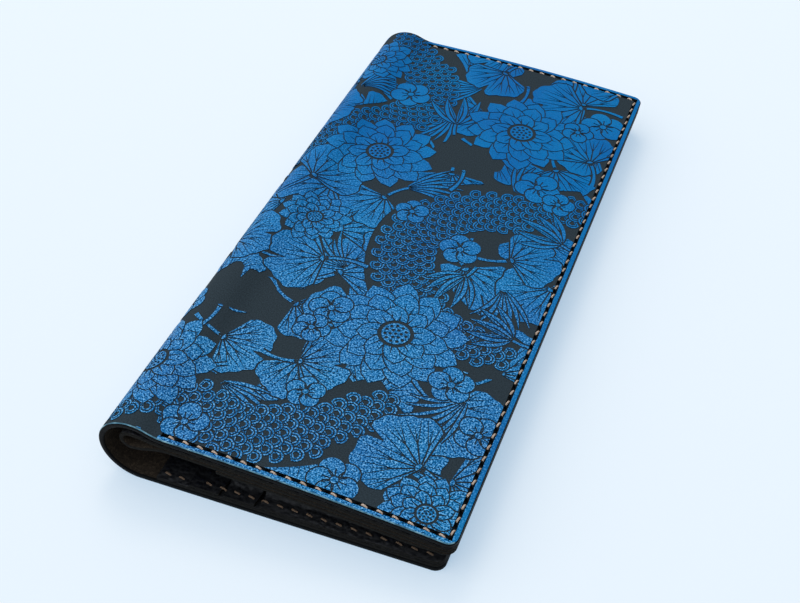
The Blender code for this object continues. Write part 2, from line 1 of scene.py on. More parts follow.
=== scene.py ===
# %% [markdown]
# # A long bifold wallet in engraved leather
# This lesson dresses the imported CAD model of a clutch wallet. The cover is one blue dyed hide with an
# engraved pattern of ginkgo leaves, blossoms and round waves, sewn by hand with waxed linen thread.
# Inside are black linings with a zip pouch, a note pocket and card pockets. The CAD model gives every
# place and every joint, so each piece made here goes exactly where its CAD solid lies.

# %% Load the frame
import math
import random
from contextlib import contextmanager

import bmesh
import bpy
from mathutils import Matrix, Vector
from mathutils.geometry import delaunay_2d_cdt


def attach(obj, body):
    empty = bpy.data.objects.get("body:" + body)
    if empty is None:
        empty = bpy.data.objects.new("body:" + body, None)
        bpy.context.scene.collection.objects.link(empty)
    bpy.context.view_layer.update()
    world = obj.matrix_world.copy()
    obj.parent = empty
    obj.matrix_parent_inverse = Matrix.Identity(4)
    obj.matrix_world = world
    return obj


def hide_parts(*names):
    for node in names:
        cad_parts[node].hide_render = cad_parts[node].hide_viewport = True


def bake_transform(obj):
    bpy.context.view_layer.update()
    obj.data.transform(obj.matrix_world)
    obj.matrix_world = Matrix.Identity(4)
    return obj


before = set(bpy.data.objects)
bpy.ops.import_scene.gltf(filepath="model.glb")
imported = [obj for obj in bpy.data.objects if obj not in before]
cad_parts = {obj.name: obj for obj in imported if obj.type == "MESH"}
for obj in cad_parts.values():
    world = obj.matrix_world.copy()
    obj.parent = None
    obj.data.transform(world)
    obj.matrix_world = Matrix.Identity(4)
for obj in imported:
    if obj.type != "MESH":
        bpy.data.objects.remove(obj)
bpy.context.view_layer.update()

# %% [markdown]
# ## Sizes
# These are the CAD source's own sizes, in metres. The section of the wallet is a chain of arcs and
# lines: flat along the rear cover, half a turn round the spine, over a hump, through a dip and along
# the gently crowned front. Every leather layer is an offset of that one line.

# %% Sizes
MM = 0.001
LENGTH, WIDTH, OVERHANG, EDGE_HEIGHT, CORNER_R = 0.200, 0.097, 0.003, 0.0124, 0.003
COVER_T, SPINE_R, HUMP_ANGLE, DIP_R, CROWN, GAP = 0.0016, 0.0105, math.radians(25), 0.014, 0.0009, 0.0003
STITCH_PITCH, STITCH_INSET = 0.004, 0.0021
LINING_T, SKIVED_T, SKIVE_RUN = 0.0011, 0.00065, 0.012
FOLD_R, FOLD_INSET, FOLD_DROP = 0.0030, 0.0069, 0.0060
BULGE, BULGE_RUN, SLIP_FROM_ZIP = 0.0028, 0.0105, 0.0083
ZIP_FROM_DIP, WINDOW_W, WINDOW_END = 0.0056, 0.008, 0.018
BACK_X, FRONT_EDGE_X = -WIDTH / 2, WIDTH / 2
REAR_EDGE_X = FRONT_EDGE_X - OVERHANG
BEND_X, BEND_Z, HALF_L = BACK_X + SPINE_R, SPINE_R, LENGTH / 2
FLAT_MARGIN = CORNER_R + GAP
print("wallet:", LENGTH / MM, "by", WIDTH / MM, "mm")

# %% [markdown]
# ## The section line
# `outline_at` walks along the section and gives a point and a heading. `inside` steps in from there
# by a depth. With these two, a flat drawing in (distance along the hide, distance along the spine)
# wraps round the wallet without stretching, just as the real hide does.

# %% The section line
def dip_end(slope):
    """Where the dip behind the hump ends, if it ends at this downward slope."""
    x = BEND_X + SPINE_R * math.sin(HUMP_ANGLE) + DIP_R * (math.sin(HUMP_ANGLE) - math.sin(slope))
    z = BEND_Z + SPINE_R * math.cos(HUMP_ANGLE) - DIP_R * (math.cos(slope) - math.cos(HUMP_ANGLE))
    return x, z


def front_slopes():
    """Downward slopes of the crowned front, at the dip and at the open edge."""
    start = end = 0.0
    for _ in range(40):
        x, z = dip_end(start)
        run, fall = FRONT_EDGE_X - x, z - EDGE_HEIGHT
        half_turn = 2 * math.atan(2 * CROWN / math.hypot(run, fall))
        start = math.atan2(fall, run) - half_turn
        end = math.atan2(fall, run) + half_turn
    return start, end


slope_start, slope_end = front_slopes()
dip_x = dip_end(slope_start)[0]
crown_r = (FRONT_EDGE_X - dip_x) / (math.sin(slope_end) - math.sin(slope_start))
OUTLINE = [
    (REAR_EDGE_X - BEND_X, 0.0),
    (SPINE_R * (math.pi + HUMP_ANGLE), -(math.pi + HUMP_ANGLE)),
    (DIP_R * (HUMP_ANGLE - slope_start), HUMP_ANGLE - slope_start),
    (crown_r * (slope_end - slope_start), slope_start - slope_end),
]
S_BEND = OUTLINE[0][0]
S_MID = S_BEND + SPINE_R * math.pi / 2
S_HUMP_END = S_BEND + OUTLINE[1][0]
S_DIP = S_HUMP_END + OUTLINE[2][0]
S_END = S_DIP + OUTLINE[3][0]
S_ZIP = S_DIP + ZIP_FROM_DIP
S_SLIP = S_ZIP + SLIP_FROM_ZIP


def outline_at(s):
    """Point and heading on the cover's outer face, a distance s along its section."""
    x, z, heading = REAR_EDGE_X, 0.0, math.pi
    for length, turn in OUTLINE:
        part = min(s, length)
        angle = turn * part / length
        if abs(turn) < 1e-9:
            x += part * math.cos(heading)
            z += part * math.sin(heading)
        else:
            radius = length / turn
            x += radius * (math.sin(heading + angle) - math.sin(heading))
            z -= radius * (math.cos(heading + angle) - math.cos(heading))
        heading += angle
        s -= part
        if s <= 0:
            break
    return x, z, heading


def inside(s, depth, y=0.0):
    """A point at a depth under the cover's outer face."""
    x, z, heading = outline_at(s)
    return Vector((x + depth * math.sin(heading), y, z - depth * math.cos(heading)))


def outward_at(s):
    """Direction that the cover's outer face looks in."""
    heading = outline_at(s)[2]
    return Vector((-math.sin(heading), 0, math.cos(heading)))


def smooth(t):
    """Smooth step from 0 to 1."""
    t = max(0.0, min(1.0, t))
    return t * t * (3 - 2 * t)


def spread(start, end, count):
    """Evenly spaced values, both ends included."""
    return [start + (end - start) * i / count for i in range(count + 1)]


print("front drawing:", round((S_END - S_MID) / MM, 2), "mm wide; rear:", round(S_MID / MM, 2), "mm")

# %% [markdown]
# ## Material helpers
# Colours are written as sRGB hex values, as a colour picker shows them, and one function turns them
# to the linear values that the renderer works in. `add_node` is the only node helper: it sets plain
# values and makes links. `finished` does the same to the material's own Principled shader.

# %% Material helpers
def colour(code):
    """Linear RGBA of an sRGB hex colour."""
    channels = [int(code[i:i + 2], 16) / 255 for i in (1, 3, 5)]
    return tuple(c / 12.92 if c <= 0.04045 else ((c + 0.055) / 1.055) ** 2.4 for c in channels) + (1.0,)


def set_node(tree, node, settings=None, links=None):
    """Settings are properties, socket values or a ramp's stops. A link is a socket, or a node's first."""
    for key, value in (settings or {}).items():
        if key == "stops":
            elements = node.color_ramp.elements
            while len(elements) < len(value):
                elements.new(0.5)
            for element, (position, code) in zip(elements, value):
                element.position = position
                element.color = colour(code)
        elif isinstance(key, str) and hasattr(node, key):
            setattr(node, key, value)
        else:
            node.inputs[key].default_value = value
    for key, source in (links or {}).items():
        tree.links.new(source.outputs[0] if isinstance(source, bpy.types.Node) else source, node.inputs[key])
    return node


def add_node(tree, kind, settings=None, links=None):
    """A new node with its settings and links."""
    return set_node(tree, tree.nodes.new("ShaderNode" + kind), settings, links)


def new_material(name):
    """An empty node material and its node tree."""
    material = bpy.data.materials.new(name)
    material.use_nodes = True
    return material, material.node_tree


def finished(material, settings, links):
    """The material, with its Principled shader set and linked."""
    tree = material.node_tree
    set_node(tree, tree.nodes["Principled BSDF"], settings, links)
    print("material:", material.name)
    return material


# The hide's UV map is the flat drawing, with 1 unit for 100 mm.
DRAWING = 0.1

# %% [markdown]
# ## Blue dyed leather
# This is full-grain cowhide, dyed blue and waxed. Its grain is a fine pebble of about half a
# millimetre, and the dye lies darker in the creases between. The blue wanders slowly from a royal to
# a more green shade. Towards the near end a painted highlight stands in for the lamp's glints: the
# grain's speckle grows stronger and its tops turn a pale cyan, while the far half stays even and deep.
# The strip outside the stitches at the open edge is burnished flat, so its grain shows less.

# %% Blue dyed leather
def dyed_leather():
    material, tree = new_material("blue_dyed_full_grain_leather")
    flat = add_node(tree, "UVMap", {"uv_map": "drawing"}).outputs["UV"]
    where = add_node(tree, "SeparateXYZ", None, {"Vector": flat}).outputs
    grain = add_node(tree, "TexNoise", {"Scale": DRAWING / (0.5 * MM), "Detail": 2.0, "Roughness": 0.7},
                     {"Vector": flat})
    off = add_node(tree, "Math", {"operation": "SUBTRACT", 1: 0.5}, {0: grain})
    strip = add_node(tree, "MapRange", {"From Min": 1.02, "From Max": 1.024, "To Min": 1.0, "To Max": 0.3},
                     {"Value": where["X"]})
    calm = add_node(tree, "Math", {"operation": "MULTIPLY"}, {0: off, 1: strip})
    # Painted highlight: the grain's light and dark speckle grows from faint at the far end to full at the
    # near end, standing in for the lamp's glints there.
    rubbed = add_node(tree, "MapRange", {"From Min": 0.5, "From Max": -0.5, "To Min": 0.18, "To Max": 1.0},
                      {"Value": where["Y"]})
    swing = add_node(tree, "Math", {"operation": "MULTIPLY"}, {0: calm, 1: rubbed})
    level = add_node(tree, "Math", {"operation": "MULTIPLY_ADD", 1: 6.4, 2: 0.98}, {0: swing})
    floored = add_node(tree, "Math", {"operation": "MAXIMUM", 1: 0.1}, {0: level})
    clouds = add_node(tree, "TexNoise", {"Scale": DRAWING / (26 * MM), "Detail": 2.0}, {"Vector": flat})
    shade = add_node(tree, "ValToRGB", {"stops": ((0.3, "#0063A4"), (0.5, "#006DAB"), (0.7, "#0377B1"))},
                     {"Fac": clouds})
    tint = add_node(tree, "VectorMath", {"operation": "SCALE"}, {0: shade, "Scale": floored})
    # Painted highlight: over the near half the grain's tops are mixed towards a pale cyan, which stands in
    # for the lamp's sheen on them.
    near_sheen = add_node(tree, "MapRange", {"From Min": 0.4, "From Max": -0.6}, {"Value": where["Y"]})
    tops = add_node(tree, "MapRange", {"From Max": 0.18, "To Max": 0.8}, {"Value": calm})
    painted_glints = add_node(tree, "Math", {"operation": "MULTIPLY"}, {0: near_sheen, 1: tops})
    waxed = add_node(tree, "Mix", {"data_type": "RGBA", 7: colour("#96CDE4")}, {0: painted_glints, 6: tint})
    creases = add_node(tree, "TexVoronoi", {"Scale": DRAWING / (0.6 * MM), "feature": "DISTANCE_TO_EDGE"},
                       {"Vector": flat})
    height = add_node(tree, "MapRange", {"From Max": 0.3, "interpolation_type": "SMOOTHSTEP"},
                      {"Value": creases})
    bump = add_node(tree, "Bump", {"Strength": 0.5, "Distance": 0.08 * MM}, {"Height": height})
    roughness = add_node(tree, "MapRange", {"To Min": 0.5, "To Max": 0.3}, {"Value": height})
    return finished(material, {"Specular IOR Level": 0.05},
                    {"Base Color": waxed.outputs[2], "Roughness": roughness, "Normal": bump})


BLUE = dyed_leather()

# %% [markdown]
# ## Finishes that follow one pattern
# Several finishes need only a single noise, such as nap, fibres or tarnish. It sets the tint, and
# where asked also the relief and the roughness. On the hide it lies on the flat drawing, so that it
# runs on round the bend. On pieces that never bend it lies on Object coordinates.

# %% Finishes that follow one pattern
def patterned(name, size, noise, stops, sockets, on_hide=False, bump=None, roughness=None):
    """A finish whose tint follows a noise. Bump is a strength and a height; roughness is a range."""
    material, tree = new_material(name)
    if on_hide:
        place, scale = add_node(tree, "UVMap", {"uv_map": "drawing"}).outputs["UV"], DRAWING / size
    else:
        place, scale = add_node(tree, "TexCoord").outputs["Object"], 1 / size
    pattern = add_node(tree, "TexNoise", {"Scale": scale, **noise}, {"Vector": place})
    links = {"Base Color": add_node(tree, "ValToRGB", {"stops": stops}, {"Fac": pattern})}
    if bump:
        strength, height = bump
        links["Normal"] = add_node(tree, "Bump", {"Strength": strength, "Distance": height},
                                   {"Height": pattern})
    if roughness:
        low, high = roughness
        links["Roughness"] = add_node(tree, "MapRange", {"To Min": low, "To Max": high}, {"Value": pattern})
    return finished(material, sockets, links)


# %% [markdown]
# ## Engraved ground
# A laser takes off the dyed grain and leaves scorched fibre. It has no shine, is nearly black with a
# cold grey tone, and shows a very fine nap. The cut walls and the stitching groove are blackest.

# %% Engraved ground
def engraved_leather(name, dark, pale):
    return patterned(name, 0.35 * MM, {"Detail": 4.0, "Roughness": 0.7}, ((0.3, dark), (0.7, pale)),
                     {"Roughness": 0.85, "Specular IOR Level": 0.1}, on_hide=True, bump=(0.5, 0.06 * MM))


CHAR = engraved_leather("laser_engraved_leather", "#1C2427", "#37434A")
SCORCH = engraved_leather("scorched_leather", "#040506", "#0E1315")

# %% [markdown]
# ## Burnished edges
# The cover's cut edges are dyed black, wetted and rubbed until they shine, though the layers still
# show as faint lines. The noise is squeezed in Z, so that its streaks lie along the layers.

# %% Burnished edges
def burnished_edge():
    material, tree = new_material("burnished_leather_edge")
    place = add_node(tree, "TexCoord")
    squeezed = add_node(tree, "Mapping", {"Scale": (1.0, 1.0, 6.0)}, {"Vector": place.outputs["Object"]})
    fibres = add_node(tree, "TexNoise", {"Scale": 1 / (1.6 * MM), "Detail": 5.0, "Roughness": 0.65},
                      {"Vector": squeezed})
    tint = add_node(tree, "ValToRGB", {"stops": ((0.4, "#020203"), (0.6, "#08090A"), (0.8, "#17191A"))},
                    {"Fac": fibres})
    roughness = add_node(tree, "MapRange", {"To Min": 0.3, "To Max": 0.6}, {"Value": fibres})
    bump = add_node(tree, "Bump", {"Strength": 0.45, "Distance": 0.1 * MM}, {"Height": fibres})
    return finished(material, {"Specular IOR Level": 0.05},
                    {"Base Color": tint, "Roughness": roughness, "Normal": bump})


EDGE = burnished_edge()

# %% [markdown]
# ## Flesh side, painted corner highlight and cut lining edges
# The hide's inner face is raw flesh: brown, matt and fibrous. Along the near end the corner between
# grain and edge is painted pale, as a painted highlight where that corner catches the light. The
# linings are only cut and sanded: their edges stay a little browner and duller than the cover's.

# %% Flesh side, painted corner highlight and cut lining edges
FLESH = patterned(
    "raw_flesh_side", 0.9 * MM, {"Detail": 7.0, "Roughness": 0.72, "Distortion": 1.2},
    ((0.3, "#15110D"), (0.5, "#2B231B"), (0.72, "#4E4335")),
    {"Roughness": 0.95, "Specular IOR Level": 0.2}, bump=(0.9, 0.22 * MM))
# Painted highlight for the pale line along the near end's corner between grain and edge.
CORNER_HIGHLIGHT = patterned(
    "leather_corner_painted_highlight", 4 * MM, {"Detail": 5.0, "Roughness": 0.7},
    ((0.34, "#122027"), (0.5, "#4C7F93"), (0.66, "#93B9C0")),
    {"Roughness": 0.4, "Specular IOR Level": 0.25}, on_hide=True)
LINING_EDGE = patterned(
    "cut_lining_edge", 0.7 * MM, {"Detail": 5.0, "Roughness": 0.7},
    ((0.35, "#070605"), (0.55, "#15130F"), (0.75, "#2C2820")),
    {"Roughness": 0.7, "Specular IOR Level": 0.07}, bump=(0.5, 0.08 * MM))

# %% [markdown]
# ## Black lining leather
# The linings are thin chrome-tanned leather with a printed pebble of a little over a millimetre,
# slack wrinkles and a soft sheen. Object coordinates carry the pattern, as these pieces never bend.

# %% Black lining leather
def lining_leather():
    material, tree = new_material("black_lining_leather")
    place = add_node(tree, "TexCoord").outputs["Object"]
    pebble = add_node(tree, "TexVoronoi",
                      {"Scale": 1 / (1.3 * MM), "feature": "SMOOTH_F1", "Smoothness": 0.4}, {"Vector": place})
    folds = add_node(tree, "TexNoise", {"Scale": 1 / (9 * MM), "Detail": 5.0, "Distortion": 0.8},
                     {"Vector": place})
    height = add_node(tree, "Math", {"operation": "MULTIPLY_ADD", 1: 1.6}, {0: folds, 2: pebble})
    tint = add_node(tree, "ValToRGB", {"stops": ((0.7, "#14161F"), (1.4, "#06070B"))}, {"Fac": height})
    roughness = add_node(tree, "MapRange", {"From Min": 0.7, "From Max": 1.5, "To Min": 0.34, "To Max": 0.62},
                         {"Value": height})
    bump = add_node(tree, "Bump", {"Strength": 0.9, "Distance": 0.3 * MM, "invert": True}, {"Height": height})
    return finished(material, {"Specular IOR Level": 0.4},
                    {"Base Color": tint, "Roughness": roughness, "Normal": bump})


LINING = lining_leather()

# %% [markdown]
# ## Waxed linen thread
# The thread is a few strands twisted together and waxed. Each stitch carries its own UV map, along
# and round the thread, so that the slanted strands follow it into its holes. The rows inside use a
# darker copy of the same thread, which is painted shade.

# %% Waxed linen thread
def linen_thread(name, dark, middle, pale):
    material, tree = new_material(name)
    along = add_node(tree, "UVMap", {"uv_map": "thread"})
    twist = add_node(tree, "TexWave", {"Scale": 1.6, "Distortion": 0.6, "Detail": 1.0,
                                       "bands_direction": "DIAGONAL"}, {"Vector": along})
    place = add_node(tree, "TexCoord").outputs["Object"]
    lint = add_node(tree, "TexNoise", {"Scale": 1 / (3.5 * MM), "Detail": 3.0}, {"Vector": place})
    both = add_node(tree, "Math", {"operation": "MULTIPLY_ADD", 1: 0.5}, {0: lint, 2: twist.outputs["Fac"]})
    tint = add_node(tree, "ValToRGB", {"stops": ((0.2, dark), (0.6, middle), (1.0, pale))}, {"Fac": both})
    bump = add_node(tree, "Bump", {"Strength": 0.7, "Distance": 0.12 * MM}, {"Height": twist.outputs["Fac"]})
    return finished(material, {"Roughness": 0.58}, {"Base Color": tint, "Normal": bump})


THREAD = linen_thread("waxed_linen_thread", "#74513A", "#D3AF90", "#F8E2CC")
SHADED_THREAD = linen_thread("shaded_linen_thread", "#241910", "#624B38", "#9A7D62")

# %% [markdown]
# ## Zip tape and brass
# Zip tape is a close herringbone weave of black polyester. The teeth, stops, slider and pull are
# brass, tumbled to a satin finish that has darkened a little.

# %% Zip tape and brass
def woven_tape():
    material, tree = new_material("woven_polyester_tape")
    place = add_node(tree, "TexCoord").outputs["Object"]
    ribs = add_node(tree, "TexWave", {"Scale": 1 / (1.1 * MM) / 20 * math.pi, "bands_direction": "Y",
                                      "Distortion": 0.3}, {"Vector": place})
    warp = add_node(tree, "TexWave", {"Scale": 1 / (0.9 * MM) / 20 * math.pi, "bands_direction": "X"},
                    {"Vector": place})
    weave = add_node(tree, "Math", {"operation": "MULTIPLY"},
                     {0: ribs.outputs["Fac"], 1: warp.outputs["Fac"]})
    tint = add_node(tree, "ValToRGB", {"stops": ((0.1, "#08080A"), (0.9, "#1E1F24"))}, {"Fac": weave})
    bump = add_node(tree, "Bump", {"Strength": 0.8, "Distance": 0.12 * MM}, {"Height": weave})
    return finished(material, {"Roughness": 0.85, "Sheen Weight": 0.25}, {"Base Color": tint, "Normal": bump})


TAPE = woven_tape()
BRASS = patterned("satin_brass", 2.5 * MM, {"Detail": 4.0}, ((0.3, "#8F6E3A"), (0.65, "#C9A765")),
                  {"Metallic": 1.0}, roughness=(0.2, 0.42))

# %% [markdown]
# ## Drawing the pattern flat
# The engraving is drawn flat, in millimetres: u runs along the hide from the spine's outermost line,
# positive towards the front's open edge, and v runs along the spine. Each motif paints closed
# outlines, and a later outline covers the earlier ones, as with paper cut-outs. The tones are levels
# of relief: blue land keeps the grain, and the ground is engraved away.

# %% Outlines
GROUND, LAND, RIM, GROOVE, HOLE = range(5)
painted = []
chance = random.Random(11)


def signed_area(points):
    return sum(points[i - 1][0] * points[i][1] - points[i][0] * points[i - 1][1]
               for i in range(len(points))) / 2


def paint(points, tone):
    """Lay a closed outline over the drawing.

    The triangulation fills an outline from its last edge, so that edge starts at the lowest point and
    the outline winds anticlockwise there. A loop that crosses itself elsewhere then does no harm.
    """
    k = min(range(len(points)), key=lambda i: (points[i][1], points[i][0]))
    (ax, ay), (bx, by), (cx, cy) = points[k - 1], points[k], points[(k + 1) % len(points)]
    points = points[k + 1:] + points[:k + 1]
    if (bx - ax) * (cy - by) - (by - ay) * (cx - bx) < 0:
        points = points[:-1][::-1] + points[-1:]
    painted.append((points, tone))


def grown(points, width):
    """The outline moved outwards by a width."""
    side = width if signed_area(points) > 0 else -width
    result = []
    for i, (x, y) in enumerate(points):
        before, after = points[i - 1], points[(i + 1) % len(points)]
        dx, dy = after[0] - before[0], after[1] - before[1]
        size = math.hypot(dx, dy) or 1.0
        result.append((x + side * dy / size, y - side * dx / size))
    return result


def inked(points, line=0.5):
    """Blue land with an engraved line round it."""
    paint(grown(points, line), GROUND)
    paint(points, LAND)


def placed(points, u, v, turn=0.0):
    """The points turned and moved to their place in the drawing."""
    c, s = math.cos(turn), math.sin(turn)
    return [(u + c * x - s * y, v + s * x + c * y) for x, y in points]


# %% [markdown]
# ## Lines, dots and leaves
# An engraved line is a narrow outline whose width runs through a few values, so it tapers as a cut
# does. Every leaf and petal is the same pointed outline, with its own fullness and bow.

# %% Lines, dots and leaves
def bowed(start, end, bow, steps):
    """Points of a bowed line; the bow is a share of its length."""
    (x0, y0), (x1, y1) = start, end
    mx, my = (x0 + x1) / 2 - bow * (y1 - y0), (y0 + y1) / 2 + bow * (x1 - x0)
    points = []
    for t in spread(0.0, 1.0, steps):
        a, b, c = (1 - t) ** 2, 2 * t * (1 - t), t * t
        points.append((a * x0 + b * mx + c * x1, a * y0 + b * my + c * y1))
    return points


def stroke(path, widths, tone=GROUND):
    """A line along a path, whose width runs through the given values."""
    left, right = [], []
    last = len(path) - 1
    for i, (x, y) in enumerate(path):
        before, after = path[max(0, i - 1)], path[min(last, i + 1)]
        dx, dy = after[0] - before[0], after[1] - before[1]
        size = math.hypot(dx, dy)
        t = i / last * (len(widths) - 1)
        k = min(int(t), len(widths) - 2)
        half = (widths[k] + (widths[k + 1] - widths[k]) * (t - k)) / 2
        left.append((x - half * dy / size, y + half * dx / size))
        right.append((x + half * dy / size, y - half * dx / size))
    paint(left + right[::-1], tone)


def polar(distance, angle):
    return distance * math.cos(angle), distance * math.sin(angle)


def disc(radius, count, x=0.0, y=0.0):
    return [(x + radius * math.cos(math.tau * i / count), y + radius * math.sin(math.tau * i / count))
            for i in range(count)]


def leaf_outline(length, width, bow, fullness, steps, blunt=0.0):
    """A pointed leaf or petal that runs from the origin along its own first axis."""
    path = bowed((0, 0), (length, 0), bow, steps)
    left, right = [], []
    for i in range(1, steps):
        (x, y), half = path[i], width / 2 * math.sin(math.pi * (i / steps) ** fullness) ** (1 - blunt)
        left.append((x, y + half))
        right.append((x, y - half))
    return [path[0]] + right + [path[-1]] + left[::-1]


print("area of a dot of 1 mm radius:", round(signed_area(disc(1.0, 24)), 2), "square mm")

# %% [markdown]
# ## Blossoms
# All the motifs are old ornaments that anyone may draw. Each is a short function, so the same few
# lines give every copy its own size, turn and small irregularities, as a hand would. The first two
# are a many-petalled blossom and a five-petalled one.

# %% Blossoms
def blossom(u, v, r, turn=0.0):
    """Three rings of hatched petals round a seeded middle."""
    for k, (count, reach, width) in enumerate(((13, 1.0, 0.44), (11, 0.78, 0.40), (8, 0.55, 0.32))):
        for i in range(count):
            angle = turn + math.tau * (i + 0.5 * k) / count + chance.uniform(-0.05, 0.05)
            length = r * reach * chance.uniform(0.94, 1.05)
            wide = r * width
            petal = leaf_outline(length, wide, chance.uniform(-0.04, 0.04), 1.25, 8, 0.45)
            inked(placed(petal, u, v, angle), 0.36)
            hatches = 3 if k < 2 else 2
            for j in range(hatches):
                aside = (j - (hatches - 1) / 2) * wide / (hatches + 0.6)
                reach_j = length * chance.uniform(0.74, 0.86) * (1 - 0.3 * abs(aside) / wide)
                path = bowed((length * 0.4, aside * 0.6), (reach_j, aside * 1.2), 0.0, 3)
                stroke(placed(path, u, v, angle), (0.55, 0.34, 0.1))
    core = r * 0.2
    paint(placed(disc(core * 1.28, 24), u, v), GROUND)
    paint(placed(disc(core, 18), u, v), LAND)
    for k, (count, reach) in enumerate(((1, 0.0), (6, 0.38), (11, 0.74))):
        for i in range(count):
            angle = math.tau * i / count + 0.3 * k
            paint(placed(disc(core * 0.13, 7, *polar(core * reach, angle)), u, v), GROUND)


def plum(u, v, r, turn=0.0):
    """A small blossom with five round petals."""
    for i in range(5):
        angle = turn + math.tau * i / 5
        inked(placed(disc(0.5 * r, 14, *polar(0.56 * r, angle)), u, v), 0.4)
    ray = bowed((0.16 * r, 0), (0.5 * r, 0), 0.0, 2)
    for i in range(10):
        stroke(placed(ray, u, v, turn + math.tau * (i + 0.5) / 10), (0.3, 0.42))
    inked(placed(disc(0.16 * r, 10), u, v), 0.35)


# %% [markdown]
# ## Ginkgo leaves
# A ginkgo leaf is a fan with a cleft, and its veins fork towards the rim. The fan's radius wavers a
# little with the angle, because no leaf's rim is a true arc.

# %% Ginkgo leaves
def ginkgo(u, v, r, turn=0.0, opening=2.8):
    """A fan leaf on its stem, with a cleft and forked veins."""
    lobes = chance.randint(3, 4)
    fan = []
    for t in spread(0.0, 1.0, 34):
        angle = (t - 0.5) * opening
        wavy = 1 + 0.035 * math.sin(t * math.tau * lobes) + 0.018 * math.sin(t * math.tau * 9)
        edge = math.sin(math.pi * t) ** 0.16 if 0 < t < 1 else 0.0
        cleft = 1 - 0.35 * math.exp(-((t - 0.5) / 0.022) ** 2)
        fan.append(polar(r * wavy * edge * cleft, angle))
    fan += [(-0.04 * r, 0.05 * r), (-0.06 * r, 0.0), (-0.04 * r, -0.05 * r)]
    stem = placed(bowed((0, 0), (-0.75 * r, 0.18 * r), 0.18, 6), u, v, turn)
    stroke(stem, (2.0, 1.8, 2.4))
    stroke(stem, (1.1, 0.8, 1.3), LAND)
    inked(placed(fan, u, v, turn), 0.5)
    for i in range(7):
        angle = ((i + 0.5) / 7 - 0.5) * opening * 0.93
        bow = 0.10 * angle / opening
        length = r * chance.uniform(0.66, 0.84) * (0.6 if i == 3 else 1.0)
        vein = bowed(polar(0.07 * r, angle), polar(length, angle), bow, 6)
        stroke(placed(vein, u, v, turn), (0.5, 0.42, 0.3, 0.1))
        for side in (-1, 1):
            fork = bowed(vein[3], polar(r * 0.88, angle + side * 0.13), 0.03 * side, 4)
            stroke(placed(fork, u, v, turn), (0.3, 0.24, 0.08))


# %% [markdown]
# ## Bamboo and grass
# Bamboo leaves hang from one twig, and the outer ones are drawn first, so the middle one lies on
# top. Blades of grass need no veins: each is one tapering line with a wider dark line under it.

# %% Bamboo and grass
def bamboo(u, v, turn, size, count=5, opening=1.5):
    """Bamboo leaves that hang from one twig."""
    twig = placed(bowed((-0.35 * size, 0), (0.2 * size, 0), 0.1, 5), u, v, turn)
    stroke(twig, (1.9, 1.5))
    stroke(twig, (0.9, 0.6), LAND)
    for i in sorted(range(count), key=lambda n: -abs(n - (count - 1) / 2)):
        angle = (i / (count - 1) - 0.5) * opening
        length = size * (1 - 0.28 * abs(angle) / opening) * chance.uniform(0.88, 1.06)
        width, bow = size * 0.17, 0.12 if angle > 0 else -0.12
        inked(placed(leaf_outline(length, width, bow, 0.75, 9), u, v, turn + angle), 0.42)
        stroke(placed(bowed((0.5, 0), (length * 0.92, 0), bow, 7), u, v, turn + angle), (0.5, 0.4, 0.1))
        for side in (-1, 1):
            vein = [(x, y + side * width * 0.2 * math.sin(math.pi * j / 5))
                    for j, (x, y) in enumerate(bowed((length * 0.12, 0), (length * 0.7, 0), bow * 0.9, 5))]
            stroke(placed(vein, u, v, turn + angle), (0.1, 0.32, 0.08))


def grass(u, v, turn, size, count=7, opening=1.15):
    """Thin blades, each with an engraved line round it."""
    for i in range(count):
        angle = turn + (i / (count - 1) - 0.5) * opening
        length = size * chance.uniform(0.75, 1.0)
        path = placed(bowed((size * 0.06, 0), (length, 0), 0.18 * (1 - 0.5 * i / count), 7), u, v, angle)
        stroke(path, (0.9, 1.9, 1.8, 0.9))
        stroke(path, (0.3, 1.05, 0.95, 0.12), LAND)


# %% [markdown]
# ## Round waves
# Rows of overlapping arches follow a winding band. They are laid from its far end to its near one,
# so each row covers the feet of the row behind it, as roof tiles do.

# %% Round waves
def through(points, steps=8):
    """A smooth path through a few points."""
    path = []
    ends = [points[0]] + list(points) + [points[-1]]
    for i in range(1, len(ends) - 2):
        for j in range(steps):
            t = j / steps
            path.append(tuple(0.5 * (2 * b + (c - a) * t + (2 * a - 5 * b + 4 * c - d) * t * t
                                     + (3 * b - a - 3 * c + d) * t ** 3)
                              for a, b, c, d in zip(*ends[i - 1:i + 3])))
    path.append(tuple(points[-1]))
    return path


def waves(path, width, r=2.5):
    """Overlapping round waves that fill a winding band."""
    marks = [0.0]
    for a, b in zip(path, path[1:]):
        marks.append(marks[-1] + math.dist(a, b))
    rows = int(marks[-1] / (r * 0.86))
    for k in range(rows, -1, -1):
        at = k * r * 0.86
        j = max(i for i in range(len(marks) - 1) if marks[i] <= at or i == 0)
        t = (at - marks[j]) / (marks[j + 1] - marks[j])
        (x0, y0), (x1, y1) = path[j:j + 2]
        heading = math.atan2(y1 - y0, x1 - x0)
        half = width(at / marks[-1]) / 2
        pitch = 2 * r * 0.98
        columns = int(2 * half / pitch)
        for c in range(-columns, columns + 1):
            aside = (c + (0.5 if k % 2 else 0.0)) * pitch
            if abs(aside) > half:
                continue
            cu = x0 + (x1 - x0) * t - aside * math.sin(heading)
            cv = y0 + (y1 - y0) * t + aside * math.cos(heading)
            for share, tone in ((1.0, GROUND), (0.87, LAND), (0.68, GROUND), (0.54, LAND), (0.38, GROUND)):
                count = 12 if share > 0.5 else 9
                arch = [polar(r * share, a) for a in spread(-2.27, 2.27, count - 1)]
                paint(placed(arch, cu, cv, heading), tone)


# %% [markdown]
# ## The layout
# Leaves in a loose lattice cover the whole hide. Dark pools are laid over them, and the wave bands,
# grasses, bamboo and blossoms go on top. Pattern and ground then share the surface about six to four.

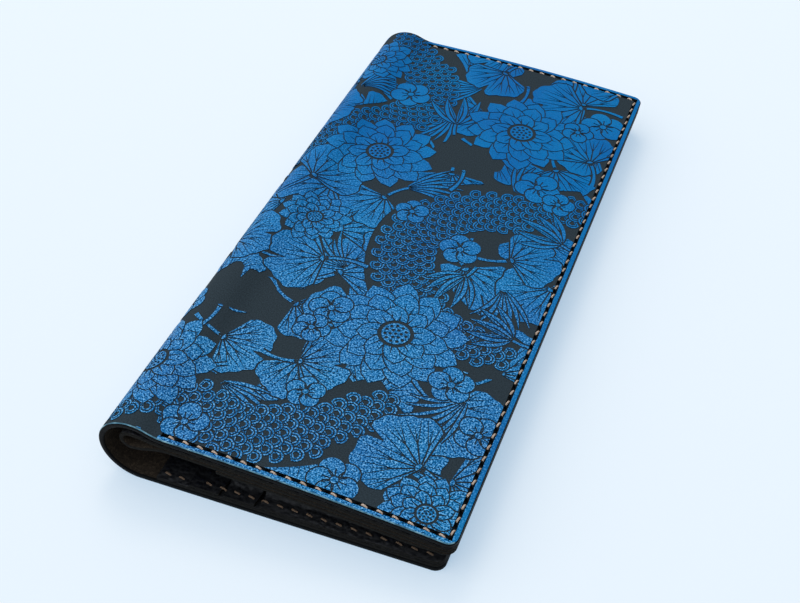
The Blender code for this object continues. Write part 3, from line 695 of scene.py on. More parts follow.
# %% The layout
def leaf_lattice(u0, u1, seed, pitch=21.5):
    pick = random.Random(seed)
    for row in range(12):
        u, v = u0 + (pitch / 2 if row % 2 else 0), -100 + row * pitch * 0.86
        while u < u1:
            ginkgo(u + pick.uniform(-3, 3), v + pick.uniform(-3, 3), pick.uniform(14.5, 17.5),
                   pick.uniform(0, math.tau), pick.uniform(2.7, 3.1))
            u += pitch


def band_width(low, rise):
    return lambda t: low + rise * math.sin(math.pi * (0.12 + 0.8 * t))


POOL_WIDER, POOL_WAVER = 7, 3
BANDS = [  # winding path, base width, swell
    ([(14, 98), (30, 84), (37, 62), (26, 44), (6, 30), (-14, 22)], 5, 13),
    ([(102, 34), (86, 22), (68, 16), (56, 0), (60, -20), (76, -34), (98, -38)], 5, 13),
    ([(4, -94), (22, -86), (40, -90), (58, -82), (74, -64)], 5, 12),
    ([(-96, 66), (-80, 52), (-62, 56), (-44, 44), (-36, 22), (-50, 4)], 5, 13),
    ([(-20, -92), (-36, -74), (-54, -70), (-72, -54), (-92, -52)], 5, 13),
]
GRASSES = [  # u, v, turn in degrees, size
    (52, 80, 200, 24), (48, 60, 240, 20), (46, 18, 20, 20), (88, -12, 280, 20), (44, -24, 150, 18),
    (92, -56, 230, 20), (30, -76, 330, 18), (12, 62, 30, 18), (66, -74, 200, 20), (8, 14, 80, 18),
    (78, 30, 70, 16), (-24, 60, 200, 20), (-60, 30, 30, 20), (-84, -30, 60, 20), (-30, -30, 150, 20),
    (-70, 86, 300, 20), (-90, 10, 100, 18), (-50, -94, 20, 18),
]
TOP_LEAVES = [  # u, v, radius, turn in degrees
    (56, 92, 15, 250), (86, 84, 18, 200), (96, 56, 15, 120), (18, 10, 17, 60), (86, 0, 15, 30),
    (6, -22, 15, 10), (36, -22, 17, 200), (18, -52, 17, 90), (46, -62, 14, 15), (88, -82, 18, 160),
    (60, 34, 15, 100), (2, 50, 15, 0), (-26, 84, 16, 220), (-64, 80, 16, 40), (-88, 34, 16, 330),
    (-70, 16, 16, 140), (-28, 0, 17, 250), (-58, -24, 17, 20), (-90, -8, 15, 90), (-22, -56, 16, 160),
    (-80, -82, 17, 300), (-46, -92, 15, 60),
]
BAMBOOS = [  # u, v, turn in degrees, size
    (98, 14, 160, 17), (50, 56, 100, 17), (76, -12, 250, 15), (24, -72, 200, 15), (96, -30, 170, 15),
    (-40, 70, 280, 17), (-12, 30, 190, 15), (-74, -36, 60, 17), (-34, -44, 130, 16), (-92, -70, 20, 15),
]
BLOSSOMS = [  # u, v, radius, turn in radians
    (71, 61, 19, 0.1), (32, 32, 18, 0.4), (26, -6, 11, 0.7), (66, -42, 20, 0.3), (10, -76, 17, 0.2),
    (94, -94, 12, 0.5), (12, 80, 13, 0.9), (-44, 12, 19, 0.2), (-80, 56, 16, 0.5), (-16, -16, 14, 0.6),
    (-56, -58, 19, 0.1), (-88, -28, 13, 0.8), (-30, -80, 13, 0.4), (-14, 62, 15, 0.3), (-56, 92, 13, 0.6),
]
PLUMS = [  # u, v, radius
    (84, 36, 7), (92, 31, 5), (46, -40, 6), (44, -49, 5), (30, 66, 6.5), (28, -92, 6), (52, 8, 5),
    (98, -66, 6), (95, 77, 7), (88, 70, 5), (71, -2, 6), (86, -53, 6), (6, -51, 6), (52, -71, 5),
    (70, -94, 6.5), (-64, 36, 6.5), (-70, 30, 5), (-36, -4, 6), (-74, -74, 6), (-84, 80, 6), (-34, 34, 5),
    (-30, -27, 6.5), (-20, -70, 6), (-16, 40, 6), (-52, 76, 6), (-94, -44, 6),
]


def draw_pattern():
    leaf_lattice(2, 108, 5)
    leaf_lattice(-104, 0, 6)
    for points, low, rise in BANDS:
        path, width = through(points), band_width(low, rise)
        marks = spread(0.0, 1.0, len(path) - 1)
        stroke(path, [width(t) + POOL_WIDER + POOL_WAVER * math.sin(9 * t) for t in marks])
    for u, v, turn, size in GRASSES:
        grass(u, v, math.radians(turn), size)
    for points, low, rise in BANDS:
        waves(through(points), band_width(low, rise))
    for u, v, r, turn in TOP_LEAVES:
        ginkgo(u, v, r, math.radians(turn), 2.85)
    for u, v, turn, size in BAMBOOS:
        bamboo(u, v, math.radians(turn), size)
    for u, v, r, turn in BLOSSOMS:
        blossom(u, v, r, turn)
    for u, v, r in PLUMS:
        plum(u, v, r, turn=u)


draw_pattern()
print("outlines in the pattern:", len(painted))


# %% [markdown]
# ## Borders, grooves and stitch holes
# Outside the stitches a plain blue border runs along the three sewn edges. The stitches lie in a
# scored groove, and each passes down through slanted holes that a pricking iron made 4 mm apart.
# Everything here is in the drawing's millimetres, and runs on past the outline, which trims it.

# %% Borders, grooves and stitch holes
RIM_R = 0.45
BORDER_W, SPINE_RIM_W, PAST = 1.45, 0.6, 1
ROW_LEAD, GROOVE_LEAD = 1.2, 0.5
GROOVE_W, SLIT_L, SLIT_W, SLIT_TURN = 1.1, 1.9, 0.8, math.radians(24)
U_FRONT, U_REAR = (S_END - S_MID) / MM, S_MID / MM
V_END = HALF_L / MM
NOTE_FROM_BEND = 0.005
NOTE_MOUTH_X = BEND_X + NOTE_FROM_BEND


def row_places(total, first_edge):
    """Holes and stitch middles of a cover's row, as (distance from its open edge, y), holes first."""
    side, half = HALF_L - STITCH_INSET, STITCH_PITCH / 2
    count = int((total - STITCH_INSET - first_edge) / STITCH_PITCH + 0.5)
    short = [STITCH_INSET + half * i for i in range(2 * count + 1)]
    count = int(2 * side / STITCH_PITCH + 0.5)
    path = [(edge, -side) for edge in reversed(short)]
    path += [(STITCH_INSET, side / count * i - side) for i in range(1, 2 * count)]
    return path + [(edge, side) for edge in short]


FRONT_HOLES = row_places(S_END, S_DIP)[::2]
REAR_HOLES = row_places(REAR_EDGE_X, NOTE_MOUTH_X + STITCH_INSET)[::2]
FRONT_ROW = [((S_END - edge - S_MID) / MM, y / MM) for edge, y in FRONT_HOLES]
REAR_ROW = [((edge - S_MID) / MM, y / MM) for edge, y in REAR_HOLES]


def band(side, us, vs, tone):
    """A rectangle of one tone between two values each of u and v; side -1 mirrors it to the rear."""
    (u0, u1), (v0, v1) = sorted(side * u for u in us), sorted(vs)
    paint([(u0, v0), (u1, v0), (u1, v1), (u0, v1)], tone)


def draw_edges(side, width, row):
    """Border, groove and holes of the front (side 1) or rear (side -1) drawing."""
    start, row_u, row_v = abs(row[0][0]) - ROW_LEAD, abs(row[len(row) // 2][0]), abs(row[0][1])
    half = GROOVE_W / 2
    for end in (-1, 1):
        band(side, (0, start), (end * (V_END - SPINE_RIM_W), end * (V_END + PAST)), RIM)
        band(side, (start, width + PAST), (end * (V_END - BORDER_W), end * (V_END + PAST)), LAND)
    band(side, (width - BORDER_W, width + PAST), (-V_END - PAST, V_END + PAST), LAND)
    for end in (-1, 1):
        band(side, (start + GROOVE_LEAD, row_u + half), (end * (row_v - half), end * (row_v + half)), GROOVE)
    band(side, (row_u - half, row_u + half), (-row_v - half, row_v + half), GROOVE)
    slit = [(x - SLIT_L / 2, y) for x, y in leaf_outline(SLIT_L, SLIT_W, 0.0, 1.0, 4)]
    for i, (u, v) in enumerate(row):
        ahead, behind = row[min(len(row) - 1, i + 1)], row[max(0, i - 1)]
        heading = math.atan2(ahead[1] - behind[1], ahead[0] - behind[0]) + SLIT_TURN
        paint(placed(slit, u, v, heading), HOLE)


draw_edges(1, U_FRONT, FRONT_ROW)
draw_edges(-1, U_REAR, REAR_ROW)
print("holes in the front's row:", len(FRONT_ROW), "in the rear's:", len(REAR_ROW))

# %% [markdown]
# ## From drawing to tones
# The flat outline of each half of the hide is drawn in by the rim's radius. A constrained
# triangulation cuts it along every painted outline, and the topmost one over each triangle gives its
# tone. Only the edges where the tone changes are kept, so hidden outlines leave nothing behind.

# %% From drawing to tones
DEPTH = {GROUND: 0.18 * MM, LAND: 0.0, RIM: 0.0, GROOVE: 0.42 * MM, HOLE: 1.1 * MM}
OUTSIDE = -1
INSIDE_ONLY, NEAR = 1, 1e-4


def triangulated(points, edges, faces):
    """Triangles inside the given outlines, and which given points, edges and faces each came from."""
    return delaunay_2d_cdt(points, edges, faces, INSIDE_ONLY, NEAR, True)


def sides_of(cell):
    """The edges round a triangle, each as its start and end."""
    return zip(cell, cell[1:] + cell[:1])


def outline_of(side, width):
    """The flat outline, drawn in by the rim's radius and with rounded outer corners."""
    r, far_v = CORNER_R / MM, V_END - RIM_R
    corner = [(width - r + (r - RIM_R) * math.cos(a), V_END - r + (r - RIM_R) * math.sin(a))
              for a in spread(0.0, math.pi / 2, 8)]
    half = corner + [(0.0, far_v)]
    points = [(u, -v) for u, v in reversed(half)] + half
    return points if side > 0 else [(-u, v) for u, v in reversed(points)]


def tone_borders(outline):
    """The cut drawing's points, and its tone borders as (start, end, tone at left, tone at right)."""
    low_u, high_u = min(p[0] for p in outline), max(p[0] for p in outline)
    kept = [(points, tone) for points, tone in painted
            if max(p[0] for p in points) > low_u and min(p[0] for p in points) < high_u]
    points, faces, boxes = [], [], []
    for shape in [outline] + [points for points, _ in kept]:
        faces.append(list(range(len(points), len(points) + len(shape))))
        points += [Vector(p) for p in shape]
        us, vs = zip(*shape)
        boxes.append((min(us), max(us), min(vs), max(vs)))
    flat, _, cells, _, _, owners = triangulated(points, [], faces)
    left = {}
    for cell, owner in zip(cells, owners):
        if 0 not in owner:
            continue
        centre = (flat[cell[0]] + flat[cell[1]] + flat[cell[2]]) / 3
        top = 0
        # An outline that crosses itself may spill over, so it counts inside its own box only.
        for k in sorted(owner, reverse=True):
            u0, u1, v0, v1 = boxes[k]
            if u0 <= centre.x <= u1 and v0 <= centre.y <= v1:
                top = k
                break
        for edge in sides_of(cell):
            left[edge] = kept[top - 1][1] if top else GROUND
    borders = []
    for (a, b), tone in left.items():
        other = left.get((b, a))
        if other is None or (other != tone and a < b):
            borders.append((a, b, tone, other))
    return flat, borders


# %% [markdown]
# ## Borders without needless points
# Cutting leaves far more points on a border than its shape needs, which would cost many triangles.
# A point goes when its two neighbours' line passes within a hundredth of a millimetre or so of it.

# %% Borders without needless points
def straightened(flat, borders, slack=0.012):
    """Drop points that lie on a straight run between their two neighbours."""
    at, edges = {}, {}
    for a, b, left, right in borders:
        edges[(a, b)] = (left, right)
        at.setdefault(a, set()).add((a, b))
        at.setdefault(b, set()).add((a, b))
    for vertex in list(at):
        if len(at[vertex]) != 2:
            continue
        first, second = at[vertex]
        ends = []
        for edge in (first, second):
            arrives = edge[1] == vertex
            ends.append((edge[0] if arrives else edge[1], edges[edge] if arrives else edges[edge][::-1]))
        (a, tones_in), (b, tones_out) = ends
        if tones_in != tones_out[::-1] or None in tones_in or a == b or (a, b) in edges or (b, a) in edges:
            continue
        pa, pb, pv = flat[a], flat[b], flat[vertex]
        run = pb - pa
        if run.length < 1e-6 or abs(run.x * (pv.y - pa.y) - run.y * (pv.x - pa.x)) / run.length > slack:
            continue
        for edge in (first, second):
            del edges[edge]
        at[a].discard(first)
        at[b].discard(second)
        edges[(a, b)] = tones_in
        at[a].add((a, b))
        at[b].add((a, b))
        del at[vertex]
    return [(a, b, *tones) for (a, b), tones in edges.items()]


# %% [markdown]
# ## Clean triangles with tones
# A second triangulation is cut by the tone borders alone, and by a few lines across the hide along
# which it will bend. A triangle beside a border knows its tone, and passes it on to its neighbours.

# %% Clean triangles with tones
def relief_cells(outline, lines):
    """Triangles with their tones, cut only by tone borders and the given lines of constant u."""
    flat, borders = tone_borders(outline)
    borders = straightened(flat, borders)
    used = sorted({i for a, b, _, _ in borders for i in (a, b)})
    index = {old: new for new, old in enumerate(used)}
    points = [flat[i] for i in used]
    edges = [(index[a], index[b]) for a, b, _, _ in borders]
    # The lines run past the outline, so that its edges are cut where they cross it.
    for u in lines:
        edges.append((len(points), len(points) + 1))
        points += [Vector((u, -V_END - PAST)), Vector((u, V_END + PAST))]
    flat, cut, cells, _, sources, _ = triangulated(points, edges, [])
    side_tone = {}
    for (p, q), source in zip(cut, sources):
        for k in source:
            if k < len(borders):
                left, right = (OUTSIDE if tone is None else tone for tone in borders[k][2:])
                along = (flat[q] - flat[p]).dot(points[edges[k][1]] - points[edges[k][0]])
                side_tone[(p, q)], side_tone[(q, p)] = (left, right) if along > 0 else (right, left)
    return flat, *filled(cells, side_tone)


def filled(cells, side_tone):
    """The triangles inside the outline, and their tones, spread from the borders."""
    tones, open_cells, owner = [None] * len(cells), [], {}
    for n, cell in enumerate(cells):
        for edge in sides_of(cell):
            owner[edge] = n
            if edge in side_tone:
                tones[n] = side_tone[edge]
        if tones[n] is not None:
            open_cells.append(n)
    while open_cells:
        n = open_cells.pop()
        for a, b in sides_of(cells[n]):
            other = owner.get((b, a))
            if other is not None and tones[other] is None and (b, a) not in side_tone:
                tones[other] = tones[n]
                open_cells.append(other)
    inner = [n for n, tone in enumerate(tones) if tone != OUTSIDE]
    return [cells[n] for n in inner], [GROUND if tones[n] is None else tones[n] for n in inner]


# %% [markdown]
# ## The rim's shape
# Sanding and burnishing round the hide's edge. A rim of eight rings runs out from the grain side,
# down and back in to the flesh side, and a profile gives how far out and how deep each ring lies.

# %% The rim's shape
QUARTER = spread(0.0, math.pi / 2, 4)
RIM_PROFILE = [(RIM_R * math.sin(a), RIM_R * MM * (1 - math.cos(a))) for a in QUARTER[1:]]
RIM_PROFILE += [(RIM_R * math.cos(a), COVER_T - RIM_R * MM * (1 - math.sin(a))) for a in QUARTER[:-1]]
print("rim:", len(RIM_PROFILE), "rings down the", COVER_T / MM, "mm edge")


def rim_direction(side, width, u, v):
    """Which way the rim bulges at a point of the outline; None on the line where the halves meet."""
    a, r = abs(u), CORNER_R / MM
    if a < NEAR:
        return (0.0, math.copysign(1.0, v)) if abs(v) > V_END - RIM_R - 1e-3 else None
    if a > width - r and abs(v) > V_END - r:
        du, dv = a - (width - r), abs(v) - (V_END - r)
        size = math.hypot(du, dv)
        return side * du / size, math.copysign(dv / size, v)
    if a > width - RIM_R - 1e-3:
        return side, 0.0
    return 0.0, math.copysign(1.0, v)


# %% [markdown]
# ## From tones to relief
# Each tone has a depth, and walls join the levels, so the relief is real. The rim and the flesh side
# then close the piece. All of it is still flat: a vertex is a place in the drawing and a depth under
# the grain, and each face has one of the hide's finishes.

# %% From tones to relief
HIDE_FINISHES = (BLUE, CHAR, SCORCH, EDGE, FLESH, CORNER_HIGHLIGHT)
GRAIN, ENGRAVED, SCORCHED, BURNISHED, RAW, HIGHLIT_CORNER = range(6)
FINISH_OF = {LAND: GRAIN, RIM: ENGRAVED, GROUND: ENGRAVED, GROOVE: SCORCHED, HOLE: SCORCHED}
HIGHLIT_RINGS, HIGHLIT_V = 2, 1.5 - V_END


class FlatHide:
    """One half of the hide while it is flat: (u, v, depth) places, and faces with their finishes."""

    def __init__(self, flat, side, width):
        self.flat, self.side, self.width = flat, side, width
        self.places, self.faces, self.finishes, self.numbers, self.levels = [], [], [], {}, {}

    def vertex(self, key, u, v, depth):
        if key not in self.numbers:
            self.numbers[key] = len(self.places)
            self.places.append((u, v, depth))
        return self.numbers[key]

    def top(self, i, depth):
        return self.vertex(("top", i, depth), self.flat[i].x, self.flat[i].y, depth)

    def flesh(self, i):
        return self.vertex(("flesh", i), self.flat[i].x, self.flat[i].y, COVER_T)

    def column(self, i, high, low):
        """The vertices of one point between two depths, from high to low."""
        return [self.top(i, d) for d in sorted(self.levels[i]) if high - 1e-9 <= d <= low + 1e-9]

    def ring(self, i):
        """The rim's vertices at one point of the outline, from the grain side to the flesh side."""
        u, v = self.flat[i]
        du, dv = rim_direction(self.side, self.width, u, v)
        between = [self.vertex(("rim", i, k), u + du * out, v + dv * out, depth)
                   for k, (out, depth) in enumerate(RIM_PROFILE)]
        return [self.top(i, 0.0)] + between + [self.flesh(i)]

    def add(self, corners, finish):
        self.faces.append(corners)
        self.finishes.append(finish)


# %% [markdown]
# ## Levels and walls
# Every triangle becomes a face at its tone's depth, and an upright wall joins two levels wherever
# the tone changes. A laser leaves such upright walls, and scorches them.

# %% Levels and walls
def add_relief(hide, cells, tones):
    """The grain side with its walls. Returns the outline as {start: (end, tone)}."""
    for cell, tone in zip(cells, tones):
        for i in cell:
            hide.levels.setdefault(i, set()).add(DEPTH[tone])
    cell_of, rim = {}, {}
    for n, (cell, tone) in enumerate(zip(cells, tones)):
        hide.add([hide.top(i, DEPTH[tone]) for i in cell], FINISH_OF[tone])
        for edge in sides_of(cell):
            cell_of[edge] = n
    for (a, b), n in cell_of.items():
        other = cell_of.get((b, a))
        if other is None:
            rim[a] = (b, tones[n])
            continue
        high, low = DEPTH[tones[n]], DEPTH[tones[other]]
        if low > high:
            hide.add(hide.column(a, high, low) + hide.column(b, high, low)[::-1], SCORCHED)
    return rim


# %% [markdown]
# ## Rim and flesh side
# The rim's rings are joined by strips of faces, and the flesh side closes the hide underneath. It
# carries no relief, so far fewer points do there than on the grain side.

# %% Rim and flesh side
def add_rim(hide, rim):
    """The rounded rim, and the plain wall on the line where the two halves meet."""
    for a, (b, tone) in rim.items():
        if abs(hide.flat[a].x) < NEAR and abs(hide.flat[b].x) < NEAR:
            wall = [hide.column(i, DEPTH[tone], COVER_T) for i in (a, b)]
            hide.add(wall[0] + [hide.flesh(a), hide.flesh(b)] + wall[1][::-1], BURNISHED)
            for i, order in ((a, 1), (b, -1)):
                if rim_direction(hide.side, hide.width, *hide.flat[i]):
                    hide.add(hide.ring(i)[::order], BURNISHED)
            continue
        ring_a, ring_b = hide.ring(a), hide.ring(b)
        for k in range(len(ring_a) - 1):
            finish = GRAIN if k == 0 and tone == LAND else BURNISHED
            # Along the near end the first two rings take the pale corner finish, a painted highlight.
            if k < HIGHLIT_RINGS and hide.flat[a].y < HIGHLIT_V:
                finish = HIGHLIT_CORNER
            hide.add([ring_a[k], ring_a[k + 1], ring_b[k + 1], ring_b[k]], finish)


def add_flesh_side(hide, rim, lines):
    """The flat inner face, cut by the lines along which the hide bends."""
    loop = [next(iter(rim))]
    while rim[loop[-1]][0] != loop[0]:
        loop.append(rim[loop[-1]][0])
    backing = [hide.flat[i] for i in loop]
    backing += [Vector((u, v)) for u in lines if RIM_R + 1 < abs(u) < hide.width - 4
                for v in spread(-V_END + 4, V_END - 4, 24)]
    _, _, cells, sources, _, owners = triangulated(backing, [], [list(range(len(loop)))])
    for cell, owner in zip(cells, owners):
        if owner:
            given = [sources[i][0] for i in cell]
            corners = [hide.flesh(loop[k]) if k < len(loop) else
                       hide.vertex(("back", k), *backing[k], COVER_T) for k in given]
            hide.add(corners[::-1], RAW)


# %% [markdown]
# ## Wrapping the hide
# Every flat vertex is carried to its place on the section, at its depth, and keeps its place in the
# drawing as its UV. Each half of the hide is one closed body, and the two halves meet at the spine's
# outermost line, where the pattern runs on.

# %% Wrapping the hide
def select_only(obj):
    bpy.ops.object.select_all(action="DESELECT")
    obj.select_set(True)
    bpy.context.view_layer.objects.active = obj


def smooth_by_angle(obj, degrees=35):
    select_only(obj)
    bpy.ops.object.shade_smooth_by_angle(angle=math.radians(degrees))


def add_mesh(name, points, faces, materials, uv_name=None, uvs=()):
    """A new object from points and faces, linked to the scene, with one UV for each corner."""
    mesh = bpy.data.meshes.new(name)
    mesh.from_pydata(points, [], faces)
    if uv_name:
        mesh.uv_layers.new(name=uv_name).data.foreach_set("uv", [value for uv in uvs for value in uv])
    for material in materials:
        mesh.materials.append(material)
    obj = bpy.data.objects.new(name, mesh)
    bpy.context.scene.collection.objects.link(obj)
    return obj


def wrapped(name, hide):
    """The flat hide's mesh on the wallet's section."""
    section, points = {}, []
    for u, v, depth in hide.places:
        key = round(u, 5)
        if key not in section:
            section[key] = outline_at(S_MID + u * MM)
        x, z, heading = section[key]
        points.append((x + depth * math.sin(heading), v * MM, z - depth * math.cos(heading)))
    uvs = [(hide.places[i][0] * MM / DRAWING, hide.places[i][1] * MM / DRAWING)
           for corners in hide.faces for i in corners]
    piece = add_mesh(name, points, hide.faces, HIDE_FINISHES, "drawing", uvs)
    piece.data.polygons.foreach_set("material_index", hide.finishes)
    smooth_by_angle(piece)
    return piece


def make_hide(name, side, width, lines):
    """One half of the cover: engraved grain side, rounded rim and flesh side."""
    flat, cells, tones = relief_cells(outline_of(side, width), lines)
    areas = [0.0] * len(DEPTH)
    for cell, tone in zip(cells, tones):
        areas[tone] += signed_area([flat[i] for i in cell])
    hide = FlatHide(flat, side, width)
    rim = add_relief(hide, cells, tones)
    add_rim(hide, rim)
    add_flesh_side(hide, rim, lines)
    print(name, "faces:", len(hide.faces), "share of blue:", round(areas[LAND] / sum(areas), 3))
    return wrapped(name, hide)


# %% [markdown]
# ## The two halves of the hide
# The lines across the hide lie close together over the bend and far apart on the flat stretches.

# %% The two halves of the hide
U_HUMP_END, U_DIP, U_BEND = (S_HUMP_END - S_MID) / MM, (S_DIP - S_MID) / MM, (S_MID - S_BEND) / MM
FRONT_LINES = spread(1.1, U_HUMP_END, 18) + spread(U_HUMP_END + 1, U_DIP, 5)
FRONT_LINES += spread(U_DIP + 6, U_FRONT - 4, 11)
REAR_LINES = [-u for u in spread(1.1, U_BEND, 14) + spread(U_BEND + 10, U_REAR - 4, 7)]
front_hide = make_hide("front_hide", 1, U_FRONT, FRONT_LINES)
rear_hide = make_hide("rear_hide", -1, U_REAR, REAR_LINES)
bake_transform(front_hide)
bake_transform(rear_hide)
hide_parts("front_cover", "spine")
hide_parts("rear_cover", "spine")

# %% [markdown]
# ## Tools for the smaller pieces
# Edit mode, modifiers and primitives are used the same way for every piece, so a few short functions
# hold what repeats. Before an operator they deselect all else, because it acts on all that is selected.

# %% Tools for the smaller pieces
def new_primitive(add, **settings):
    """Add a primitive that is alone in the selection."""
    bpy.ops.object.select_all(action="DESELECT")
    add(**settings)
    return bpy.context.active_object


@contextmanager
def editing(piece):
    """Edit mode with the whole mesh selected, then object mode again."""
    select_only(piece)
    bpy.ops.object.mode_set(mode="EDIT")
    bpy.ops.mesh.select_all(action="SELECT")
    yield
    bpy.ops.object.mode_set(mode="OBJECT")


def apply_modifier(piece, kind, **settings):
    """Add a modifier with its settings and apply it."""
    modifier = piece.modifiers.new(kind.lower(), kind)
    for key, value in settings.items():
        setattr(modifier, key, value)
    select_only(piece)
    bpy.ops.object.modifier_apply(modifier=modifier.name)


def apply_place(piece, matrix):
    """Carry a piece's mesh to its place and leave the object at the origin."""
    piece.data.transform(matrix @ piece.matrix_world)
    piece.matrix_world = Matrix.Identity(4)


def dress(piece, body, node):
    """Ride on a body and hide the CAD node that the piece stands for."""
    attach(piece, body)
    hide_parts(node)


# %% [markdown]
# ## One stitch, many copies
# A saddle stitch shows as a short waxed thread that rises from one slanted hole and dives into the
# next. It starts as a flat grid, which is rolled into a tube and drawn in at both ends; the grid's own
# two directions become the thread's UV map. One stitch is modelled, and every row is made of copies
# that are placed hole by hole.

# %% One stitch
STITCH_L, STITCH_W, STITCH_T, STITCH_DIP, STITCH_LEAN = 2.8, 0.58, 0.5, 1.9, -0.4
THREAD_V = 3.0


def stitch_template():
    """The stitch along X in millimetres, resting on Z = 0, with its thread UV map."""
    stitch = new_primitive(bpy.ops.mesh.primitive_grid_add, x_subdivisions=10, y_subdivisions=8, size=1.0)
    mesh = stitch.data
    flat = [v.co.copy() for v in mesh.vertices]
    thread = mesh.uv_layers.new(name="thread")
    for loop in mesh.loops:
        co = flat[loop.vertex_index]
        thread.data[loop.index].uv = (co.x * STITCH_L, co.y * THREAD_V)
    for vertex, co in zip(mesh.vertices, flat):
        t, around = 2 * co.x, math.tau * co.y
        full = max(0.0, 1 - abs(t) ** 7) ** 0.5
        rise = STITCH_T / 2 - STITCH_DIP * abs(t) ** 3.2
        lean = STITCH_LEAN * (t - 0.35 * t ** 3)
        vertex.co = (STITCH_L / 2 * t, STITCH_W / 2 * full * math.sin(around) + lean,
                     rise + STITCH_T / 2 * full * math.cos(around))
    with editing(stitch):
        bpy.ops.mesh.remove_doubles(threshold=0.002)
        bpy.ops.mesh.normals_make_consistent(inside=False)
    return stitch


def copies(name, template, places, material):
    """One piece with a copy of the template at every matrix, in metres."""
    mesh = template.data
    layer = mesh.uv_layers.get("thread")
    uvs = [tuple(d.uv) for d in layer.data] * len(places) if layer else ()
    points, faces, count = [], [], len(mesh.vertices)
    for n, place in enumerate(places):
        points += [place @ (v.co * MM) for v in mesh.vertices]
        faces += [[n * count + i for i in polygon.vertices] for polygon in mesh.polygons]
    piece = add_mesh(name, points, faces, (material,), "thread" if layer else None, uvs)
    smooth_by_angle(piece, 50)
    return piece


def frame_at(origin, along, up):
    """A matrix with X along the row and Z out of the leather."""
    x = along.normalized()
    y = up.cross(x).normalized()
    return Matrix.Translation(origin) @ Matrix((x, y, x.cross(y))).transposed().to_4x4()


# The rows inside take the darker thread by default: painted shade.
def sew(name, holes, node, body, thread=SHADED_THREAD, closed=False, reach=1.0):
    """A row of stitches from hole to hole. Each hole is a point and the leather's outward direction."""
    pairs = list(zip(holes, holes[1:])) + ([(holes[-1], holes[0])] if closed else [])
    longer = Matrix.Scale(reach, 4, (1, 0, 0))
    places = [frame_at((a + b) / 2, b - a, (up_a + up_b).normalized()) @ longer
              for (a, up_a), (b, up_b) in pairs]
    dress(copies(name, STITCH, places, thread), body, node)
    print(name, len(pairs), "stitches")


STITCH = stitch_template()

# %% [markdown]
# ## Sewing the covers
# The outer rows lie in their grooves, with the thread's back just below the grain. The same stitches
# show on the linings inside, where there is no groove and the thread pulls itself into the soft
# leather. How deep they lie follows from the layers: two or three linings under the front cover, and
# the note panel with a card pocket's side on it over the rear one.

# %% Sewing the covers
GROOVE_FLOOR, SUNK, INSIDE_REACH = DEPTH[GROOVE], 0.2 * MM, 1.25
NOTE_LOW, NOTE_T, POCKET_T, POCKET_ROWS = COVER_T + GAP, 0.0010, 0.0008, 3
NOTE_TOP = NOTE_LOW + NOTE_T
POCKET_LOW = NOTE_TOP + GAP
POCKET_TOP = POCKET_LOW + POCKET_T
FIRST_STEP, STEP, FOOT_INSET, SHOULDER, RAMP_RUN = 0.0095, 0.010, 0.011, 0.0012, 0.0030
POCKET_MOUTHS = [NOTE_MOUTH_X + FIRST_STEP + STEP * i for i in range(POCKET_ROWS)]
UP = Vector((0, 0, 1))


def layer_depth(layer, s):
    """Depth of a front lining layer's upper and lower face under the cover's outer face."""
    thickness = SKIVED_T + (LINING_T - SKIVED_T) * min(1.0, (S_END - s) / SKIVE_RUN)
    top = COVER_T + GAP + layer * (thickness + GAP)
    return top, top + thickness


front_outer, front_inner, rear_outer, rear_inner = [], [], [], []
for edge, y in FRONT_HOLES:
    s = S_END - edge
    front_outer.append((inside(s, GROOVE_FLOOR, y), outward_at(s)))
    front_inner.append((inside(s, layer_depth(2 if s > S_SLIP else 1, s)[1] - SUNK, y), -outward_at(s)))
for edge, y in REAR_HOLES:
    x = REAR_EDGE_X - edge
    rear_outer.append((Vector((x, y, GROOVE_FLOOR)), -UP))
    rear_inner.append((Vector((x, y, (POCKET_TOP if x > POCKET_MOUTHS[0] else NOTE_TOP) - SUNK)), UP))
for cover, outer, inner in (("front", front_outer, front_inner), ("rear", rear_outer, rear_inner)):
    sew(f"{cover}_stitches_outside", outer, f"{cover}_thread_outside", f"{cover}_half", THREAD)
    sew(f"{cover}_stitches_inside", inner, f"{cover}_thread_inside", f"{cover}_half", reach=INSIDE_REACH)

# %% [markdown]
# ## Lining sheets
# Each lining is a thin sheet whose thickness changes where it is skived, so it is built from rows of
# point pairs, one on the grain side and one on the flesh side. A small bevel then rounds its edges
# as sanding does.

# %% Lining sheets
LEATHERS = (LINING, FLESH, LINING_EDGE)
SANDED, SANDED_THIN, SEALED = 0.16 * MM, 0.13 * MM, 0.08 * MM
MERGED = 0.04 * MM


@contextmanager
def bmesh_of(piece):
    """A piece's mesh as a bmesh, written back afterwards."""
    mesh = bmesh.new()
    mesh.from_mesh(piece.data)
    yield mesh
    mesh.to_mesh(piece.data)
    mesh.free()


